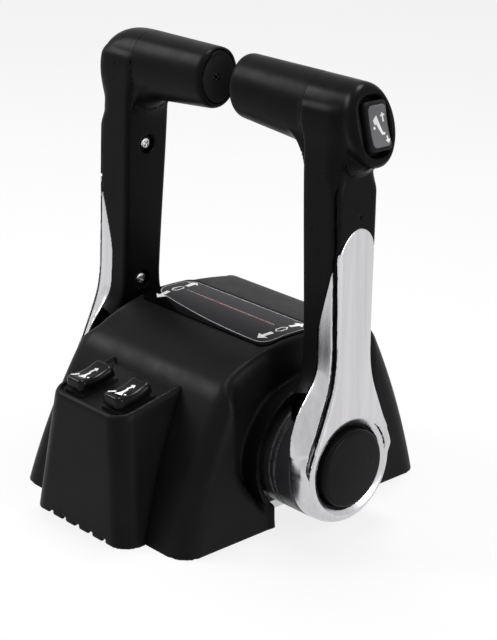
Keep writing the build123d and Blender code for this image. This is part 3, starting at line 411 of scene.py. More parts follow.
ARM_HALF = 14.0
ARM_WIDENS = (105, 205)
ARM_EXTRA = 1.6
ARM_INNER = 75.4
ARM_TOP = 235.0
ARM_WALL = 2.5
ARM_CAVITY_TOP = 205
ARM_FOOT = 46.5
OUTER_CAVITY_FOOT = 74
CREASE = 98.5
FACE = 101.5
FACE_ROUNDING = 10
RIB_SHARPENS = 7
NECK_FOOT = 54.5
NECK_TOP = 92.0
NECK_TURN = math.radians(22)
NECK_BLEND = 5
HUB_BLEND = 3

RIB_START, RIB_END = (38, 46), (190, 201)
RIB_INSET = 0.9
RIB_EDGE = 0.4
GROOVE_PLACE = 0.2
GROOVE_HALF = 1.25
GROOVE_DEPTH = 2.6
GROOVE_NARROWS = (150, 165)
GROOVE_LOSS = 0.45
CHROME_GROOVE_DEPTH = 6

FLARE = 6.5
FLARE_START, FLARE_END = (40, 68), (70, 96)
FLARE_SHARE = 0.3
FLARE_INNER, FLARE_OUTER = (72, 87), (87.5, 97)
STEP = 0.6
STEP_START, STEP_END, STEP_OUTER = (40, 42.5), (60, 95), (95, 98)

CHROME_WALL = 1.25
LOW_WALL = 1.3
LOW_WALL_END = (88, 98)
RING_WALL = 4
RING_WALL_END = (28, 32)
CHROME_BEND = 119
CHROME_SLOPE = 0.31
CHROME_SIDE_TOP = 160
CHROME_OVERLAP = 1.2
ARCH_MIDDLE = 1.5
LOW_ARCH = (138, 19, 34.5)
HIGH_ARCH = (159, 11.6, 13.5)

BUTTON_RADIUS = 22.1
BUTTON_FRONT = 103.1
BUTTON_DOME = 0.8
BUTTON_ROUNDING = 2.2
BUTTON_LIP = (2, 94.2)
BUTTON_BACK = 92.2
BUTTON_WALL = 2
BUTTON_HOLLOW = 100.4
OPENING_RADIUS = 24.2
BEVEL_START = 3.2
BEVEL_LENGTH = 9
BEVEL_SLOPE = 1.5
OPEN_RING = (28, 5)

SCREW_HEIGHTS = (100, 183)
SCREW_SEAT = 8.0
SCREW_BOSS = 6.5
SCREW_WELL = 5.5
DIMPLE = (2.0, 178.0, 1.3)

HANDLE_TOP = 250.0
HANDLE_LOW = (215.85, -0.085)
HANDLE_HALF = (14.25, 0.026)
PORT_LOW_BENDS = ((69, -0.16), (88, 0.45))
PORT_SIDE_BENDS = ((86, -0.12),)
PLAIN_LOW_BENDS = ((69, -0.15),)
BEND_SOFTNESS = 6
HANDLE_END = 95
CORNER_ROUNDING = 23
HANDLE_BLEND = 4
SWITCH_BLEND = 12
SWITCH_BLEND_OUT, SWITCH_BLEND_UP = (94, 98), (206, 214)
WEB = (17, 13.6, 80, 226)
GRIP_END = 10.0
GRIP_SEAM = 67.0
DISH = (11.6, 14.6, 4)
CAP = (11.5, 14.4, 5)
CAP_HEIGHT = 232.0
CAP_FRONT = 3.4
CAP_DISH = 2.2
CAP_REACH = 12.5
CAP_HOLE = 2.2
OVAL_LIFT = 0.5

SWITCH_LEAN = math.radians(16.5)
SWITCH_FACE = (105.0, 229.0)
BEAD_OVAL = (14.6, 20.4)
BEAD_INSET = 3.4
BEAD_RADIUS = 3.6
HOUSING_FOOT = 203.0
SWITCH_POCKET = (9.9, 15.4, 8, 6)
SWITCH_WELL = (7.6, 13.1, 15.1)


# Levers

def leaned(x, z):
    """Places across and up a lever, which leans about the middle of its hub."""
    across, up = x - PARTING, z - HUB_HEIGHT
    return (PARTING + across * math.cos(LEAN) + up * math.sin(LEAN),
            HUB_HEIGHT - across * math.sin(LEAN) + up * math.cos(LEAN))


def from_shaft(y, z):
    """Distance from the shaft's axis."""
    return np.hypot(y, z - HUB_HEIGHT)


def lever_outline(y, h):
    """Hub, neck and arm from the side."""
    side = np.abs(y)
    hub = from_shaft(y, h) - HUB_RADIUS
    strip = common(side - ARM_HALF - ARM_EXTRA * smooth_step(h, *ARM_WIDENS), HUB_HEIGHT - h)
    wedge = (side - ARM_HALF) * math.cos(NECK_TURN) + (h - NECK_TOP) * math.sin(NECK_TURN)
    arm = soft_union(strip, common(wedge, NECK_FOOT - h), NECK_BLEND)
    return soft_union(hub, arm, HUB_BLEND)


def ribbed(h):
    """1 where the face has a rib with a groove beside it, and 0 where its edge is plain."""
    return smooth_step(h, *RIB_START) * (1 - smooth_step(h, *RIB_END))


def flare(u, h):
    """How far the neck's sides stand out towards the hub, below the arm."""
    along = FLARE * smooth_step(h, *FLARE_START) * (1 - smooth_step(h, *FLARE_END))
    inward = FLARE_SHARE + (1 - FLARE_SHARE) * smooth_step(u, *FLARE_INNER)
    return along * (1 - smooth_step(u, *FLARE_OUTER)) * inward


def step_up(u, h):
    """Rise of the neck's side band, fading out up the arm."""
    along = STEP * smooth_step(h, *STEP_START) * (1 - smooth_step(h, *STEP_END))
    return along * (1 - smooth_step(u, *STEP_OUTER))


def arm_form(x, y, z):
    """Hub, neck and arm without their parting."""
    u, h = leaned(x, z)
    rib = ribbed(h)
    inset = RIB_INSET * rib * smooth_step(u, CREASE - RIB_EDGE, CREASE + RIB_EDGE)
    outline = lever_outline(y, h) + inset - step_up(u, h) - flare(u, h)
    body = soft_common(outline, u - FACE, FACE_ROUNDING - RIB_SHARPENS * rib)
    body = soft_common(body, ARM_INNER - u, 3)
    return soft_common(body, h - ARM_TOP, 4)


def groove(x, y, z, depth):
    """Groove between the side band and the rib of the face."""
    u, h = leaned(x, z)
    half = GROOVE_HALF * ribbed(h) * (1 - GROOVE_LOSS * smooth_step(h, *GROOVE_NARROWS))
    return common(np.abs(u - CREASE - GROOVE_PLACE) - half, -lever_outline(y, h) - depth)


def soft_ramp(ahead):
    """The way past a bend, 0 before it, with a soft change between."""
    return (ahead + np.sqrt(ahead ** 2 + BEND_SOFTNESS ** 2)) / 2


def bent(x, value, slope, bends=()):
    """A value that changes along x with a slope, which softly changes at each bend."""
    result = value + slope * x
    for place, change in bends:
        result = result + change * soft_ramp(x - place)
    return result


def switch_place(x, y, z):
    """Place in front of the trim switch's face, across it and up it."""
    dx, dz = x - SWITCH_FACE[0], z - SWITCH_FACE[1]
    return (dx * math.cos(SWITCH_LEAN) + dz * math.sin(SWITCH_LEAN), y,
            dz * math.cos(SWITCH_LEAN) - dx * math.sin(SWITCH_LEAN))


def handle_section(y, z, low, half_width):
    """Oval section of a handle from its underside up to the common top."""
    return ellipse(y, z - (HANDLE_TOP + low) / 2, half_width, (HANDLE_TOP - low) / 2)


def port_handle(x, y, z):
    """Handle of the port lever, with the bead round its switch face."""
    section = handle_section(y, z, bent(x, *HANDLE_LOW, PORT_LOW_BENDS),
                             bent(x, *HANDLE_HALF, PORT_SIDE_BENDS))
    ahead, p, q = switch_place(x, y, z)
    body = soft_common(section, ahead, 5)
    bead = np.hypot(ellipse(p, q, *BEAD_OVAL) + BEAD_INSET, ahead + BEAD_RADIUS) - BEAD_RADIUS
    return soft_union(body, bead, 3)


def plain_handle(x, y, z):
    """Handle of the starboard lever, which turns down into its arm."""
    section = handle_section(y, z, bent(x, *HANDLE_LOW, PLAIN_LOW_BENDS), bent(x, *HANDLE_HALF))
    corner = soft_common(x - HANDLE_END, z - HANDLE_TOP - OVAL_LIFT, CORNER_ROUNDING)
    return soft_common(section, corner, 6)


def lever_form(x, y, z, handle):
    """A whole lever: arm and handle run into each other, with a wide web inside the corner."""
    arm, top = arm_form(x, y, z), handle(x, y, z)
    under_switch = smooth_step(x, *SWITCH_BLEND_OUT) * (1 - smooth_step(z, *SWITCH_BLEND_UP))
    extra = SWITCH_BLEND * under_switch if handle is port_handle else 0
    whole = soft_union(arm, top, HANDLE_BLEND + extra)
    radius, half, outer, high = WEB
    web = common(soft_union(arm, top, radius), np.abs(y) - half, x - outer, z - high)
    return soft_common(union(whole, web), GRIP_END - x, 5)


def chrome_zone(u, y, h):
    """The bright cover's part: outside a curve on the sides, under a lopsided arch on the face."""
    side_edge = PARTING + CHROME_SLOPE * soft_ramp(h - CHROME_BEND)
    aside = y - ARCH_MIDDLE
    low_side = ellipse(np.minimum(aside, 0), np.maximum(h - LOW_ARCH[0], 0), *LOW_ARCH[1:])
    high_side = ellipse(np.maximum(aside, 0), np.maximum(h - HIGH_ARCH[0], 0), *HIGH_ARCH[1:])
    arch = np.where(y < ARCH_MIDDLE, low_side, high_side)
    return union(common(side_edge - u, h - CHROME_SIDE_TOP),
                 common(CREASE - CHROME_OVERLAP - u, arch))


def low_wall(h):
    """Extra thickness of the bright cover over the neck and hub."""
    return LOW_WALL * (1 - smooth_step(h, *LOW_WALL_END))


def button_well(x, y, z):
    """Opening for the button, with a wide bevel."""
    u, _ = leaned(x, z)
    bevel = np.clip(u - FACE + BEVEL_START, 0, BEVEL_LENGTH) * BEVEL_SLOPE
    return (from_shaft(y, z) - OPENING_RADIUS - bevel) / BEVEL_SLOPE


def chrome(x, y, z):
    """Bright cover of hub, neck and lower face, open at its grooves and button."""
    u, h = leaned(x, z)
    body = soft_common(lever_form(x, y, z, plain_handle), PARTING + SEAM - u, 1)
    body = soft_cut(body, groove(x, y, z, CHROME_GROOVE_DEPTH), 0.5)
    body = soft_cut(body, button_well(x, y, z), 1.2)
    body = soft_common(body, chrome_zone(u, y, h), 0.8)
    ring = RING_WALL * (1 - smooth_step(from_shaft(y, z), *RING_WALL_END))
    wall = CHROME_WALL + ring + low_wall(h)
    return common(body, -(arm_form(x, y, z) + wall))


def under_housing(body, z, handle):
    """An arm cover, which ends under the trim housing on the port lever."""
    return common(body, z - HOUSING_FOOT + SEAM) if handle is port_handle else body


def arm_inner(x, y, z, handle):
    """Inner arm cover, hollow, with the bosses and wells of its two screws."""
    u, h = leaned(x, z)
    hub = from_shaft(y, z) - HUB_RADIUS - 0.1
    body = common(lever_form(x, y, z, handle), u - PARTING + SEAM)
    body = common(body, GRIP_SEAM + SEAM - x, -hub, ARM_FOOT - z)
    cavity = common(lever_outline(y, h) + ARM_WALL, ARM_INNER + ARM_WALL - u, h - ARM_CAVITY_TOP)
    body = common(body, -cavity)
    for height in SCREW_HEIGHTS:
        reach = np.hypot(y, h - height)
        boss = common(reach - SCREW_BOSS, ARM_INNER + 1 - u, u - PARTING + 0.1)
        well = common(reach - SCREW_WELL, u - PARTING + SCREW_SEAT)
        body = soft_common(union(body, boss), -well, 1)
    return under_housing(body, z, handle)


def arm_outer(x, y, z, handle):
    """Outer arm cover, hollow, sunk under the bright cover, open round the button."""
    u, h = leaned(x, z)
    body = common(lever_form(x, y, z, handle), PARTING + SEAM - u)
    away = (y - DIMPLE[0]) ** 2 + (h - DIMPLE[1]) ** 2 + (u - FACE) ** 2
    body = soft_cut(body, np.sqrt(away) - DIMPLE[2], 0.4)
    sunk = arm_form(x, y, z) + CHROME_WALL + SEAM + low_wall(h)
    bright = common(chrome_zone(u, y, h) - SEAM, -sunk)
    body = soft_cut(soft_cut(body, bright, 0.3), groove(x, y, z, GROOVE_DEPTH), 1)
    cavity = common(lever_outline(y, h) + ARM_WALL + CHROME_WALL, u - CREASE + ARM_WALL,
                    OUTER_CAVITY_FOOT - h, h - ARM_CAVITY_TOP)
    radius = from_shaft(y, z)
    well = union(radius - BUTTON_RADIUS - 0.5,
                 common(radius - BUTTON_RADIUS - 2.5, x - BUTTON_LIP[1] - 0.3))
    open_ring = common(radius - OPEN_RING[0], FACE - OPEN_RING[1] - u)
    return under_housing(common(body, -cavity, -well, -open_ring), z, handle)


def grip(x, y, z, handle):
    """Grip from the seam to its free end, which is dished."""
    body = common(lever_form(x, y, z, handle), x - GRIP_SEAM + SEAM)
    dish = common(ellipse(y, z - CAP_HEIGHT - OVAL_LIFT, *DISH[:2]), x - GRIP_END - DISH[2])
    return soft_cut(body, dish, 2)


def grip_cap(x, y, z):
    """Dished cap in a grip's end, with a hole for its screw."""
    radius = np.hypot(y, z - CAP_HEIGHT)
    front = GRIP_END + CAP_FRONT - CAP_DISH * np.clip(radius / CAP_REACH, 0, 1) ** 2
    oval = ellipse(y, z - CAP_HEIGHT - OVAL_LIFT, *CAP[:2])
    body = common(oval, front - x, x - GRIP_END - CAP[2])
    return soft_cut(body, common(radius - CAP_HOLE, x - GRIP_END - DISH[2]), 0.5)


def trim_housing(x, y, z):
    """Top of the port lever round the trim switch."""
    ahead, p, q = switch_place(x, y, z)
    body = common(lever_form(x, y, z, port_handle), GRIP_SEAM + SEAM - x, HOUSING_FOOT + SEAM - z)
    pocket = soft_common(rounded_box(p, q, *SWITCH_POCKET[:3]), -ahead - SWITCH_POCKET[3], 1.5)
    body = soft_cut(body, pocket, 3)
    well = common(np.abs(p) - SWITCH_WELL[0], np.abs(q) - SWITCH_WELL[1], -ahead - SWITCH_WELL[2])
    return common(body, -well)


def hub(x, y, z):
    """Turned hub with two grooves, stepped bores and the riser for the lever bar."""
    u, h = leaned(x, z)
    radius = from_shaft(y, z)
    half_ring, ring_depth = HUB_RING
    rings = np.minimum(*[np.abs(x - place) for place in HUB_RINGS]) - half_ring
    body = soft_common(radius - HUB_RADIUS, HUB_INNER - x, 2)
    body = soft_common(body, u - PARTING + SEAM, 1)
    body = common(body, -common(rings, HUB_RADIUS - ring_depth - radius))
    half, thickness, top = RISER
    riser = common(np.abs(y) - half, PARTING - thickness - u, u - PARTING + SEAM,
                   h - top, HUB_HEIGHT - h)
    bore = HUB_MOUTH
    for end, bore_radius in reversed(HUB_BORES):
        bore = np.where(x < end, bore_radius, bore)
    return common(union(body, riser), bore - radius)


def button(x, y, z):
    """Round cap, slightly domed, hollow behind, with a lip."""
    radius = from_shaft(y, z)
    front = BUTTON_FRONT - BUTTON_DOME * (radius / BUTTON_RADIUS) ** 2
    cap = soft_common(radius - BUTTON_RADIUS, x - front, BUTTON_ROUNDING)
    lip = common(radius - BUTTON_RADIUS - BUTTON_LIP[0], x - BUTTON_LIP[1])
    body = common(union(cap, lip), BUTTON_BACK - x)
    return common(body, -common(radius - BUTTON_RADIUS + BUTTON_WALL, x - BUTTON_HOLLOW))


# Cover and switch pod, in millimetres

COVER_FOOT = 93.0
FRONT_SHOULDER, FRONT_ROUNDING = (56.0, 84.0), 3
BACK_SHOULDER, BACK_ROUNDING = (58.0, 95.0), 4
CROWN = 101.0
FACE_BULGE = 3.2
HALF_WIDTH = 70.0
CROWN_HALF_WIDTH = 63.5
SIDE_ROUNDING = 13
COVER_WALL = 2.5
COVER_SCREW = (58, 60)
BOSS_RADIUS = 4.5
PILOT_RADIUS = 1.6
PILOT_TOP = 18
RECESS = 57.0
RECESS_HALF = 50
RECESS_FLOOR = 14
RECESS_CHAMFER = (36, 0.81, 0.59)
COLLAR = (36.5, 40.0, 68.5)
COLLAR_RIB_HALF = 28.5
SHAFT_SLOT_HALF = 26

POD_SLOPE = math.radians(10)
POD_RIM_HEIGHT = 72.5
POD_TOP_DEPTH = 103.0
POD_FOOT_DEPTH = 108.5
POD_DRAFT_HEIGHT = 90
POD_HALF = (40, 12.3)
POD_BACK = 20
POD_CORNER = 11
POD_WALL = 2.5
POD_RIM = 3.2
POD_SUNK = 3
POD_CEILING = 5.6
POD_GAP = 0.15
POD_SCREW = (24, 25)
POD_BOSS = 4
POD_SCREW_END = 80
SCREW_CLEARANCE = 1.7
SWITCH_HOLE = (6.1, 10.1)
DRAIN_SPAN = 28.5
DRAIN_PITCH = 11.4
DRAIN_HALF = 1.7
DRAIN_HEIGHT = 2
SWITCH_X = 15.5
SWITCH_Y = -85.0
ROCKER_HALF = (7.6, 12.6)
ROCKER_CORNER = 3.5
ROCKER_FOOT = 3.4
ROCKER_DRAFT = (0.14, 3.3)
ROCKER_TOP = 8.0
ROCKER_DISH = 58.0
ROCKER_STEM = (2.5, 1.5, 1.6, 6)


def arc_through(foot, tip, bulge):
    """Centre and radius of an arc between two places, bulging outward."""
    run, rise = foot[0] - tip[0], tip[1] - foot[1]
    half_chord = math.hypot(run, rise) / 2
    radius = (half_chord ** 2 + bulge ** 2) / (2 * bulge)
    inward = (radius - bulge) / (2 * half_chord)
    middle = (foot[0] + tip[0]) / 2 - rise * inward, (foot[1] + tip[1]) / 2 - run * inward
    return middle, radius


def crown_radius(shoulder):
    """Radius of the crown, level at the top, down to a shoulder."""
    drop = CROWN - shoulder[1]
    return (shoulder[0] ** 2 + drop ** 2) / (2 * drop)


def half_cover(y, z, shoulder, rounding):
    """Face and crown of the front or back half of the cover."""
    (face_y, face_z), face_radius = arc_through((COVER_FOOT, 0), shoulder, FACE_BULGE)
    face = np.hypot(np.abs(y) - face_y, z - face_z) - face_radius
    radius = crown_radius(shoulder)
    return soft_common(face, np.hypot(y, z - CROWN + radius) - radius, rounding)


def cover_outer(x, y, z):
    """Outer skin of the cover, without its recesses."""
    half = np.where(y < 0, half_cover(y, z, FRONT_SHOULDER, FRONT_ROUNDING),
                    half_cover(y, z, BACK_SHOULDER, BACK_ROUNDING))
    lean = (HALF_WIDTH - CROWN_HALF_WIDTH) / CROWN
    sides = (np.abs(x) - HALF_WIDTH + lean * z) / math.hypot(1, lean)
    return soft_common(half, sides, SIDE_ROUNDING)


def side_recess(x, y, z):
    """Space that the levers swing through, cut in each side of the cover."""
    side = np.abs(y) - RECESS_HALF
    corner_height, across, down = RECESS_CHAMFER
    foot = side * across + (corner_height - z) * down
    around = soft_common(soft_common(side, foot, 4), RECESS_FLOOR - z, 6)
    return soft_common(around, RECESS - np.abs(x), 7)


def cover_skin(x, y, z):
    return soft_cut(cover_outer(x, y, z), side_recess(x, y, z), 6)


def cover(x, y, z):
    """Shell with a collar and rib round each shaft, screw posts and the pod's screw holes."""
    skin = cover_skin(x, y, z)
    shell = common(skin, -(skin + COVER_WALL))
    wide = np.abs(x)
    radius = from_shaft(y, z)
    collar = common(slab(wide, RECESS - COVER_WALL, COLLAR[2]), radius - COLLAR[1])
    rib = common(slab(wide, RECESS - COVER_WALL, HALF_WIDTH), np.abs(y) - COLLAR_RIB_HALF,
                 z - RECESS_FLOOR, cover_outer(x, y, z))
    body = soft_union(shell, soft_union(collar, rib, 1), 2.5)
    opening = common(radius - COLLAR[0], RECESS - wide)
    slot = common(union(radius - SHAFT_SLOT_HALF,
                        common(np.abs(y) - SHAFT_SLOT_HALF, z - HUB_HEIGHT)),
                  RECESS - COVER_WALL - 1 - wide)
    body = soft_cut(soft_cut(body, opening, 1), slot, 0.6)
    from_screw = np.hypot(wide - COVER_SCREW[0], np.abs(y) - COVER_SCREW[1])
    post = common(from_screw - BOSS_RADIUS, 5 - z, cover_outer(x, y, z) + 1)
    hole = common(from_screw - PILOT_RADIUS, z - PILOT_TOP)
    pod_screws = common(np.hypot(wide - POD_SCREW[0], z - POD_SCREW[1]) - SCREW_CLEARANCE, y)
    return common(union(body, post), -hole, -pod_screws, -z)


def pod_sides(x, y, z):
    """Leaning walls of the pod."""
    share = z / POD_DRAFT_HEIGHT
    half = POD_HALF[0] - POD_HALF[1] * share
    front = POD_FOOT_DEPTH - (POD_FOOT_DEPTH - POD_TOP_DEPTH) * share
    return rounded_box(x, y + (front + POD_BACK) / 2, half, (front - POD_BACK) / 2, POD_CORNER)


def pod_top(y, z):
    """Sloping top plane of the pod."""
    return (z - POD_RIM_HEIGHT) * math.cos(POD_SLOPE) - (y + POD_TOP_DEPTH) * math.sin(POD_SLOPE)


def switch_floor_height():
    """Height of the pod's sunk floor at the middle of the switches."""
    rise = math.tan(POD_SLOPE) * (SWITCH_Y + POD_TOP_DEPTH)
    return POD_RIM_HEIGHT - POD_SUNK / math.cos(POD_SLOPE) + rise


def switch_floor(x, y, z):
    """Place across, along and above the pod's sunk floor, from the middle of a switch."""
    dy, dz = y - SWITCH_Y, z - switch_floor_height()
    return (np.abs(x) - SWITCH_X, dy * math.cos(POD_SLOPE) + dz * math.sin(POD_SLOPE),
            dz * math.cos(POD_SLOPE) - dy * math.sin(POD_SLOPE))


def switch_pod(x, y, z):
    """Hollow pod with a sunk top, switch holes, screw posts and drain slots."""
    sides, top = pod_sides(x, y, z), pod_top(y, z)
    clear_of_cover = POD_GAP - cover_outer(x, y, z)
    body = soft_common(sides, top, 4)
    body = soft_cut(body, soft_common(sides + POD_RIM, -top - POD_SUNK, 2), 2)
    body = common(body, -common(sides + POD_WALL, top + POD_CEILING), clear_of_cover, -z)
    across, along, _ = switch_floor(x, y, z)
    body = common(body, -common(np.abs(across) - SWITCH_HOLE[0], np.abs(along) - SWITCH_HOLE[1]))
    from_screw = np.hypot(np.abs(x) - POD_SCREW[0], z - POD_SCREW[1])
    post = common(from_screw - POD_BOSS, sides + 1, clear_of_cover)
    hole = common(from_screw - PILOT_RADIUS, -y - POD_SCREW_END)
    from_slot = np.abs(np.mod(x + DRAIN_SPAN, DRAIN_PITCH) - DRAIN_PITCH / 2)
    drains = common(from_slot - DRAIN_HALF, np.abs(x) - DRAIN_SPAN, z - DRAIN_HEIGHT,
                    y + POD_TOP_DEPTH)
    return common(union(body, post), -hole, -drains)


def pod_rocker(x, y, z):
    """Saddle shaped rocker with a stem down to its pivot."""
    across, along, above = switch_floor(x, y, z)
    top = ROCKER_TOP + along ** 2 / ROCKER_DISH
    draft = ROCKER_DRAFT[0] * (above - ROCKER_DRAFT[1])
    sides = rounded_box(across, along, ROCKER_HALF[0] - draft / 2, ROCKER_HALF[1] - draft,
                        ROCKER_CORNER)
    cap = common(soft_common(sides, above - top, 3.2), ROCKER_FOOT - above)
    half_x, half_y, low, high = ROCKER_STEM
    stem = common(np.abs(across) - half_x, np.abs(along) - half_y, low - above, above - high)
    return union(cap, stem)


# Trim rocker, in millimetres from the middle of its switch face

TRIM_TOP = 1.8
TRIM_DISH = 150
TRIM_HALF = (8, 12.8, 3)
TRIM_BACK = 5
TRIM_BEVEL = 0.19
PANEL_HALF = (6.4, 10.8, 2.4)
PANEL_RISE = 0.25


def rocker_front(q):
    """Height of the trim rocker's dished front above the housing's face."""
    return TRIM_TOP + q ** 2 / TRIM_DISH


def trim_rocker(x, y, z):
    """Trim rocker, with a back bevelled both ways from its pivot."""
    ahead, p, q = switch_place(x, y, z)
    body = soft_common(rounded_box(p, q, *TRIM_HALF), ahead - rocker_front(q), 2.5)
    return common(body, TRIM_BEVEL * np.abs(q) - ahead - TRIM_BACK)


def trim_panel(x, y, z):
    """Pale inset of the trim rocker."""
    ahead, p, q = switch_place(x, y, z)
    body = soft_common(rounded_box(p, q, *PANEL_HALF), ahead - (rocker_front(q) + PANEL_RISE), 0.8)
    return soft_common(body, -ahead, 0.2)


# Screws

ARM_HEAD = (3.4, 2.6)
GRIP_HEAD = (2.1, 1.6)
GRIP_HEAD_SEAT = 4.9
HEAD_DOME = 14
CROSS = (0.5, 2.1, 1.5)
SHANK = (1.9, 7)
EIGHTH_TURN = 0.707


def screw_head(across, up, out, radius, height):
    """Domed head, out from its seat, with a cross recess turned by an eighth."""
    reach = np.hypot(across, up)
    head = soft_common(reach - radius, out - height + reach ** 2 / HEAD_DOME, 0.8)
    a, b = np.abs(across + up) * EIGHTH_TURN, np.abs(across - up) * EIGHTH_TURN
    half, arm, depth = CROSS
    cross = union(common(a - half, b - arm), common(b - half, a - arm))
    head = common(head, -common(cross, height - depth - out))
    return union(common(head, -out), common(reach - SHANK[0], out - 0.1, -SHANK[1] - out))


def arm_screws(x, y, z):
    """The two screws in the inner face of an arm."""
    u, h = leaned(x, z)
    out = PARTING - SCREW_SEAT - u
    return union(*[screw_head(y, h - height, out, *ARM_HEAD) for height in SCREW_HEIGHTS])


def grip_screw(x, y, z):
    """The screw at the bottom of the dish in a grip's end."""
    return screw_head(y, z - CAP_HEIGHT, GRIP_END + GRIP_HEAD_SEAT - x, *GRIP_HEAD)


# Assembly

def lever_seams(handle, name):
    """Planes where a lever piece meets its neighbours, and the skin that runs across them."""
    skin = partial(lever_form, handle=handle)
    across, upright = (1, 0, 0), (0, 0, 1)
    lean = (math.cos(LEAN), 0, math.sin(LEAN))
    parting = PARTING * lean[0] + HUB_HEIGHT * lean[2]
    planes = {"arm_inner": [(across, GRIP_SEAM + SEAM), (upright, HOUSING_FOOT - SEAM),
                            (lean, parting - SEAM)],
              "arm_outer": [(upright, HOUSING_FOOT - SEAM), (lean, parting + SEAM)],
              "grip": [(across, GRIP_SEAM - SEAM)],
              "trim_housing": [(across, GRIP_SEAM + SEAM), (upright, HOUSING_FOOT + SEAM)]}
    return [(skin, normal, offset) for normal, offset in planes.get(name, ())]


def build_levers():
    """Both levers. A row: name, field, box, cell size, slot and replaced node."""
    for side, sign in SIDES:
        handle = port_handle if sign > 0 else plain_handle
        body, mirrored = f"{side}_lever", sign < 0
        rows = [
            ("arm_inner", partial(arm_inner, handle=handle), (58, -20, 58), (97, 20, 252), 0.9,
             "arm_plastic", "arm_inner_cover"),
            ("arm_outer", partial(arm_outer, handle=handle), (78, -34, 4), (104, 34, 252), 0.9,
             "arm_plastic", "arm_outer_cover"),
            ("chrome", chrome, (82, -35, 4), (104, 35, 174), 0.55, "bright_metal", "chrome_cover"),
            ("grip", partial(grip, handle=handle), (9, -19, 190), (68, 19, 252), 0.9,
             "grip_rubber", "grip"),
            ("grip_cap", grip_cap, (10, -13, 217), (17, 13, 248), 0.5, "cap_plastic", "grip_cap"),
            ("hub", hub, (59, -34, 5), (91, 34, 95), 0.9, "hub_metal", "hub"),
        ]
        for name, field, low, high, step, slot, node in rows:
            add_form(f"{side}_{name}_form", field, low, high, step, body, slot,
                     (f"{side}_{node}",), mirrored, seams=lever_seams(handle, name))
        for name, field, low, high, look in (
                ("arm_screws", arm_screws, (69, -4, 95), (87, 4, 188), "steel"),
                ("grip_screw", grip_screw, (12, -3, 228), (23, 3, 236), "dark_steel")):
            add_form(f"{side}_{name}", field, low, high, 0.28, body, "steel",
                     (f"{side}_lever_screws",), mirrored, look=look)
        add_form(f"{side}_button_form", button, (91, -25, 13), (105, 25, 65), 0.7,
                 f"{side}_warm_up_button", "button_plastic", (f"{side}_button",), mirrored)
    add_form("trim_housing_form", trim_housing, (66, -19, 196), (115, 19, 252), 0.8, "port_lever",
             "housing_plastic", ("trim_housing",), seams=lever_seams(port_handle, "trim_housing"))


def build_base():
    """Cover, pod, pod rockers and trim rocker."""
    add_form("cover_form", cover, (-71, -94, 0), (71, 94, 102), 1.1, "housing", "cover_plastic",
             ("cover",))
    add_form("switch_pod_form", switch_pod, (-41, -110, 0), (41, -26, 82), 0.9, "housing",
             "pod_plastic", ("switch_pod",))
    for side, sign in SIDES:
        add_form(f"{side}_pod_rocker_form", pod_rocker, (7, -99, 70), (24, -70, 90), 0.5,
                 f"{side}_pod_switch", "pod_rocker_plastic", (f"{side}_pod_rocker",), sign < 0)
    add_form("trim_rocker_form", trim_rocker, (94, -8, 212), (114, 8, 246), 0.5, "trim_switch",
             "switch_plastic", ("trim_rocker",))
    add_form("trim_panel_form", trim_panel, (98, -7, 216), (114, 7, 244), 0.4, "trim_switch",
             "rocker_plastic")


# Printed marks, drawn flat in millimetres and laid on their surfaces

MARK_THICKNESS = 0.08
MARK_LIFT = 0.09
WINDOW_LIFT = 0.03
LABEL_STEP = 0.25
SIGN_STEP = 0.12
LABEL_THICKNESS = 0.8
LABEL_LOW, LABEL_HIGH = (-53, -21), (53, 21)
WINDOW_TOP = 18
WINDOW_HALF = 50.5
WINDOW_CORNER = 9
WINDOW_SAG = (-19.4, 6.4, 40, 72)


def stroke(x, y, start, end, half):
    """Distance to a line with round ends."""
    run_x, run_y = end[0] - start[0], end[1] - start[1]
    along = (x - start[0]) * run_x + (y - start[1]) * run_y
    share = np.clip(along / (run_x ** 2 + run_y ** 2), 0, 1)
    return np.hypot(x - start[0] - share * run_x, y - start[1] - share * run_y) - half


def polygon(x, y, corners):
    """Distance to a polygon."""
    nearest, inside = 1e3, False
    for (x0, y0), (x1, y1) in zip(corners, corners[1:] + corners[:1]):
        nearest = np.minimum(nearest, stroke(x, y, (x0, y0), (x1, y1), 0))
        slope = (x1 - x0) / (y1 - y0) if y1 != y0 else 0
        inside = inside ^ (((y0 <= y) != (y1 <= y)) & (x < x0 + (y - y0) * slope))
    return np.where(inside, -nearest, nearest)


def arrow(x, y, tail, tip, half, head):
    """Distance to an arrow from its tail to its tip."""
    length = math.hypot(tip[0] - tail[0], tip[1] - tail[1])
    lead_x, lead_y = (tip[0] - tail[0]) / length, (tip[1] - tail[1]) / length
    along = (x - tail[0]) * lead_x + (y - tail[1]) * lead_y
    aside = np.abs((y - tail[1]) * lead_x - (x - tail[0]) * lead_y)
    shaft = common(slab(along, 0, length - head), aside - half)
    point = common(length - head - along, (along - length) * 0.7 + aside * 0.7)
    return union(shaft, point)


def add_mark(name, outline, low, high, step, place, body, look):
    """A thin mark from its flat outline, laid where a place function puts it."""
    def solid(x, y, t):
        return common(outline(x, y), np.abs(t) - 2 * step)

    points, faces = net(solid, (*low, -2 * step), (*high, 2 * step), step)
    height = MARK_THICKNESS * np.clip(points[:, 2] / (4 * step), -0.5, 0.5)
    across, along = points[:, 0], points[:, 1]
    add_mesh(name, np.stack(place(across, along, height), axis=1), faces, body, look)


def on_label(x, y, height, lift):
    """Place on the crowned label."""
    front, back = crown_radius(FRONT_SHOULDER), crown_radius(BACK_SHOULDER)
    rise = LABEL_THICKNESS + (height + lift)
    drop = np.where(y < 0, front - np.sqrt((front + rise) ** 2 - y ** 2),
                    back - np.sqrt((back + rise) ** 2 - y ** 2))
    return x, y, CROWN - drop


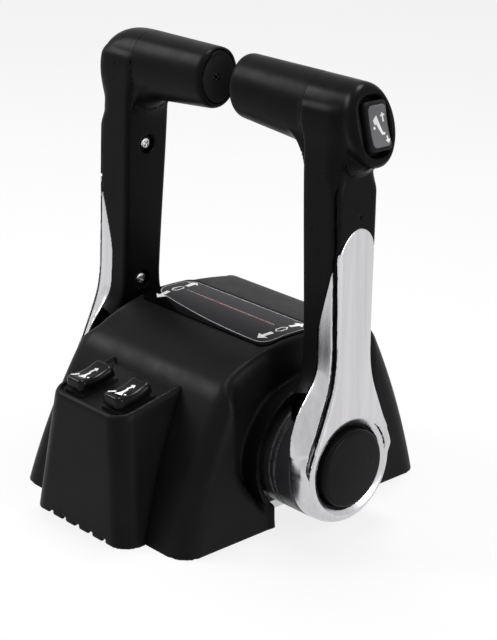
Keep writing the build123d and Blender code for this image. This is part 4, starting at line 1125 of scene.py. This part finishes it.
def on_pod_rocker(across, along, height, sign):
    """Place on the dished top of a pod rocker."""
    top = ROCKER_TOP + along ** 2 / ROCKER_DISH + height
    base = switch_floor_height()
    return (sign * SWITCH_X + across,
            SWITCH_Y + along * math.cos(POD_SLOPE) - top * math.sin(POD_SLOPE),
            base + along * math.sin(POD_SLOPE) + top * math.cos(POD_SLOPE))


def on_trim_panel(p, q, height):
    """Place on the pale inset of the trim rocker."""
    ahead = rocker_front(q) + PANEL_RISE + height
    return (SWITCH_FACE[0] + ahead * math.cos(SWITCH_LEAN) - q * math.sin(SWITCH_LEAN), p,
            SWITCH_FACE[1] + ahead * math.sin(SWITCH_LEAN) + q * math.cos(SWITCH_LEAN))


def window(x, y):
    """Smoked window of the label, with a sagging front edge."""
    low, sag, start, run = WINDOW_SAG
    low_edge = low + sag * np.clip((start - x) / run, 0, 2) ** 2
    body = soft_common(low_edge - y, y - WINDOW_TOP, 2)
    return soft_common(body, np.abs(x) - WINDOW_HALF, WINDOW_CORNER)


def window_rim(x, y):
    return np.abs(window(x, y) + 0.3) - 0.28


def gear_marks(x, y):
    """Ahead, neutral and astern marks at both ends of the label."""
    side = np.abs(x)
    ahead = arrow(side, y, (43, -6), (41.5, -16.2), 1.35, 4)
    astern = arrow(side, y, (42.6, 7.5), (44.2, 17), 1.35, 4)
    ring = polygon(side, y, [(42.8, -4), (45, -1.5), (45, 3.5), (42.8, 6), (40.6, 3.5),
                             (40.6, -1.5)])
    return union(ahead, astern, np.abs(ring + 0.4) - 0.35)


def pale_line(x, y):
    return stroke(x, y, (-37.7, 3.6), (35.4, 2.7), 0.22)


def red_line(x, y):
    return stroke(x, y, (-29, 2.6), (35.4, 1.9), 0.25)


def trim_sign(x, y):
    """Leg with its pivot, an arrow up and an arrow down."""
    over = x + 0.6
    leg = polygon(over, y, [(-3.4, 3.4), (-0.6, 5.6), (2.6, -3.2), (4.2, -3.6), (3.8, -4.8),
                            (1.6, -4.6), (-1.6, 1.4), (-2.4, 0.6)])
    pivot = np.hypot(over + 3, y + 0.6) - 0.75
    up = arrow(x, y, (3.4, 1.8), (3.0, 6.6), 0.55, 1.9)
    down = arrow(x, y, (4.2, -5.4), (4.6, -9.2), 0.5, 1.9)
    return union(leg, pivot, up, down)


def rocker_sign(x, y):
    """Leg with a pivot, a bar before it and an arrow behind it."""
    leg = polygon(x, y, [(-1.2, -7.6), (3.6, -6.4), (1.4, -3.4), (1.0, 0.4), (-0.6, 0.2),
                         (-0.4, -4)])
    pivot = np.hypot(x - 4.2, y + 4.6) - 0.7
    bar = stroke(x, y, (-4.6, -8.4), (-3.2, -5.4), 0.75)
    tip = arrow(x, y, (-0.6, 0.6), (1.2, 5.4), 0.7, 2)
    return union(leg, pivot, bar, tip)


def build_marks():
    for name, outline, lift, look in (
            ("label_window", window, WINDOW_LIFT, "window_film"),
            ("label_rim", window_rim, MARK_LIFT, "pale_ink"),
            ("label_gear_marks", gear_marks, MARK_LIFT, "white_ink"),
            ("label_pale_line", pale_line, MARK_LIFT, "pale_ink"),
            ("label_red_line", red_line, MARK_LIFT, "red_ink")):
        add_mark(name, outline, LABEL_LOW, LABEL_HIGH, LABEL_STEP, partial(on_label, lift=lift),
                 "housing", look)
    for side, sign in SIDES:
        add_mark(f"{side}_rocker_sign", rocker_sign, (-6, -11), (6, 6), SIGN_STEP,
                 partial(on_pod_rocker, sign=sign), f"{side}_pod_switch",
                 "white_ink")
    add_mark("trim_sign", trim_sign, (-6, -10), (6, 8), SIGN_STEP, on_trim_panel, "trim_switch",
             "white_ink")


build_levers()
build_base()
build_marks()


# Floor, light and camera, in metres

FLOOR_HALF = 6.0
FLOOR_COLOR = (0.75, 0.75, 0.75, 1)
FLOOR_GLOW = 0.82
ROOM_COLOR = (0.9, 0.9, 0.92, 1)
ROOM_STRENGTH = 0.35
LIGHT_TARGET = (0, 0, 0.12)


def make_floor():
    """Pale floor. The camera and mirrors see it near white, with the shadow kept."""
    bm = bmesh.new()
    bmesh.ops.create_grid(bm, x_segments=2, y_segments=2, size=FLOOR_HALF)
    mesh = bpy.data.meshes.new("floor")
    bm.to_mesh(mesh)
    bm.free()
    floor = bpy.data.objects.new("floor", mesh)
    bpy.context.scene.collection.objects.link(floor)

    material = bpy.data.materials.new("floor")
    tree = empty_tree(material)
    output = tree.nodes.new("ShaderNodeOutputMaterial")
    diffuse = tree.nodes.new("ShaderNodeBsdfDiffuse")
    diffuse.inputs["Color"].default_value = FLOOR_COLOR
    glow = tree.nodes.new("ShaderNodeEmission")
    mix = tree.nodes.new("ShaderNodeMixShader")
    share = tree.nodes.new("ShaderNodeMath")
    share.operation = "MULTIPLY"
    share.inputs[1].default_value = FLOOR_GLOW
    tree.links.new(seen_by_camera_or_mirror(tree), share.inputs[0])
    tree.links.new(share.outputs[0], mix.inputs["Fac"])
    tree.links.new(diffuse.outputs["BSDF"], mix.inputs[1])
    tree.links.new(glow.outputs["Emission"], mix.inputs[2])
    tree.links.new(mix.outputs["Shader"], output.inputs["Surface"])
    mesh.materials.append(material)


def seen_by_camera_or_mirror(tree):
    """1 for rays from the camera, off glossy surfaces or through glass."""
    path = tree.nodes.new("ShaderNodeLightPath")
    seen = path.outputs["Is Camera Ray"]
    for kind in ("Is Transmission Ray", "Is Glossy Ray"):
        larger = tree.nodes.new("ShaderNodeMath")
        larger.operation = "MAXIMUM"
        tree.links.new(seen, larger.inputs[0])
        tree.links.new(path.outputs[kind], larger.inputs[1])
        seen = larger.outputs[0]
    return seen


def make_world():
    """White behind the object, plain grey light all round it."""
    world = bpy.data.worlds.new("studio")
    bpy.context.scene.world = world
    tree = empty_tree(world)
    output = tree.nodes.new("ShaderNodeOutputWorld")
    room = tree.nodes.new("ShaderNodeBackground")
    room.inputs["Color"].default_value = ROOM_COLOR
    room.inputs["Strength"].default_value = ROOM_STRENGTH
    white = tree.nodes.new("ShaderNodeBackground")
    white.inputs["Strength"].default_value = 1.0
    mix = tree.nodes.new("ShaderNodeMixShader")
    tree.links.new(seen_by_camera_or_mirror(tree), mix.inputs["Fac"])
    tree.links.new(room.outputs["Background"], mix.inputs[1])
    tree.links.new(white.outputs["Background"], mix.inputs[2])
    tree.links.new(mix.outputs["Shader"], output.inputs["Surface"])


def area_light(name, place, width, height, power):
    """Soft box at a place, turned towards the middle of the object."""
    data = bpy.data.lights.new(name, "AREA")
    data.shape = "RECTANGLE"
    data.size = width
    data.size_y = height
    data.energy = power
    light = bpy.data.objects.new(name, data)
    bpy.context.scene.collection.objects.link(light)
    light.location = place
    aim = Vector(LIGHT_TARGET) - Vector(place)
    light.rotation_euler = aim.to_track_quat("-Z", "Y").to_euler()


def make_lights():
    area_light("top_box", (-0.1, 0.15, 1.1), 0.35, 0.35, 9.0)
    area_light("front_box", (-0.9, -0.6, 0.85), 0.3, 0.5, 8.0)
    area_light("side_box", (1.3, 0.2, 0.6), 0.2, 1.0, 8.0)


CAMERA_AZIMUTH = math.radians(45.82)
CAMERA_ELEVATION = math.radians(20.53)
CAMERA_ROLL = math.radians(1.79)
CAMERA_PLACE = (695.36 * MM, -657.35 * MM, 453.21 * MM)
CAMERA_LENS = 101.707
CAMERA_SHIFT = (-0.0026, 0.0013)


def make_camera():
    """Camera at the photograph's place, turn and focal length."""
    sin_a, cos_a = math.sin(CAMERA_AZIMUTH), math.cos(CAMERA_AZIMUTH)
    sin_e, cos_e = math.sin(CAMERA_ELEVATION), math.cos(CAMERA_ELEVATION)
    back = Vector((sin_a * cos_e, -cos_a * cos_e, sin_e))
    right = Vector((cos_a, sin_a, 0))
    up = back.cross(right)
    cos_r, sin_r = math.cos(CAMERA_ROLL), math.sin(CAMERA_ROLL)
    rolled_right = cos_r * right + sin_r * up
    rolled_up = cos_r * up - sin_r * right
    data = bpy.data.cameras.new("camera")
    data.lens = CAMERA_LENS
    data.shift_x, data.shift_y = CAMERA_SHIFT
    data.clip_end = 20.0
    camera = bpy.data.objects.new("camera", data)
    bpy.context.scene.collection.objects.link(camera)
    turn = Matrix((rolled_right, rolled_up, back)).transposed().to_4x4()
    camera.matrix_world = Matrix.Translation(CAMERA_PLACE) @ turn
    bpy.context.scene.camera = camera


make_floor()
make_world()
make_lights()
make_camera()
bpy.context.scene.view_settings.view_transform = "Standard"
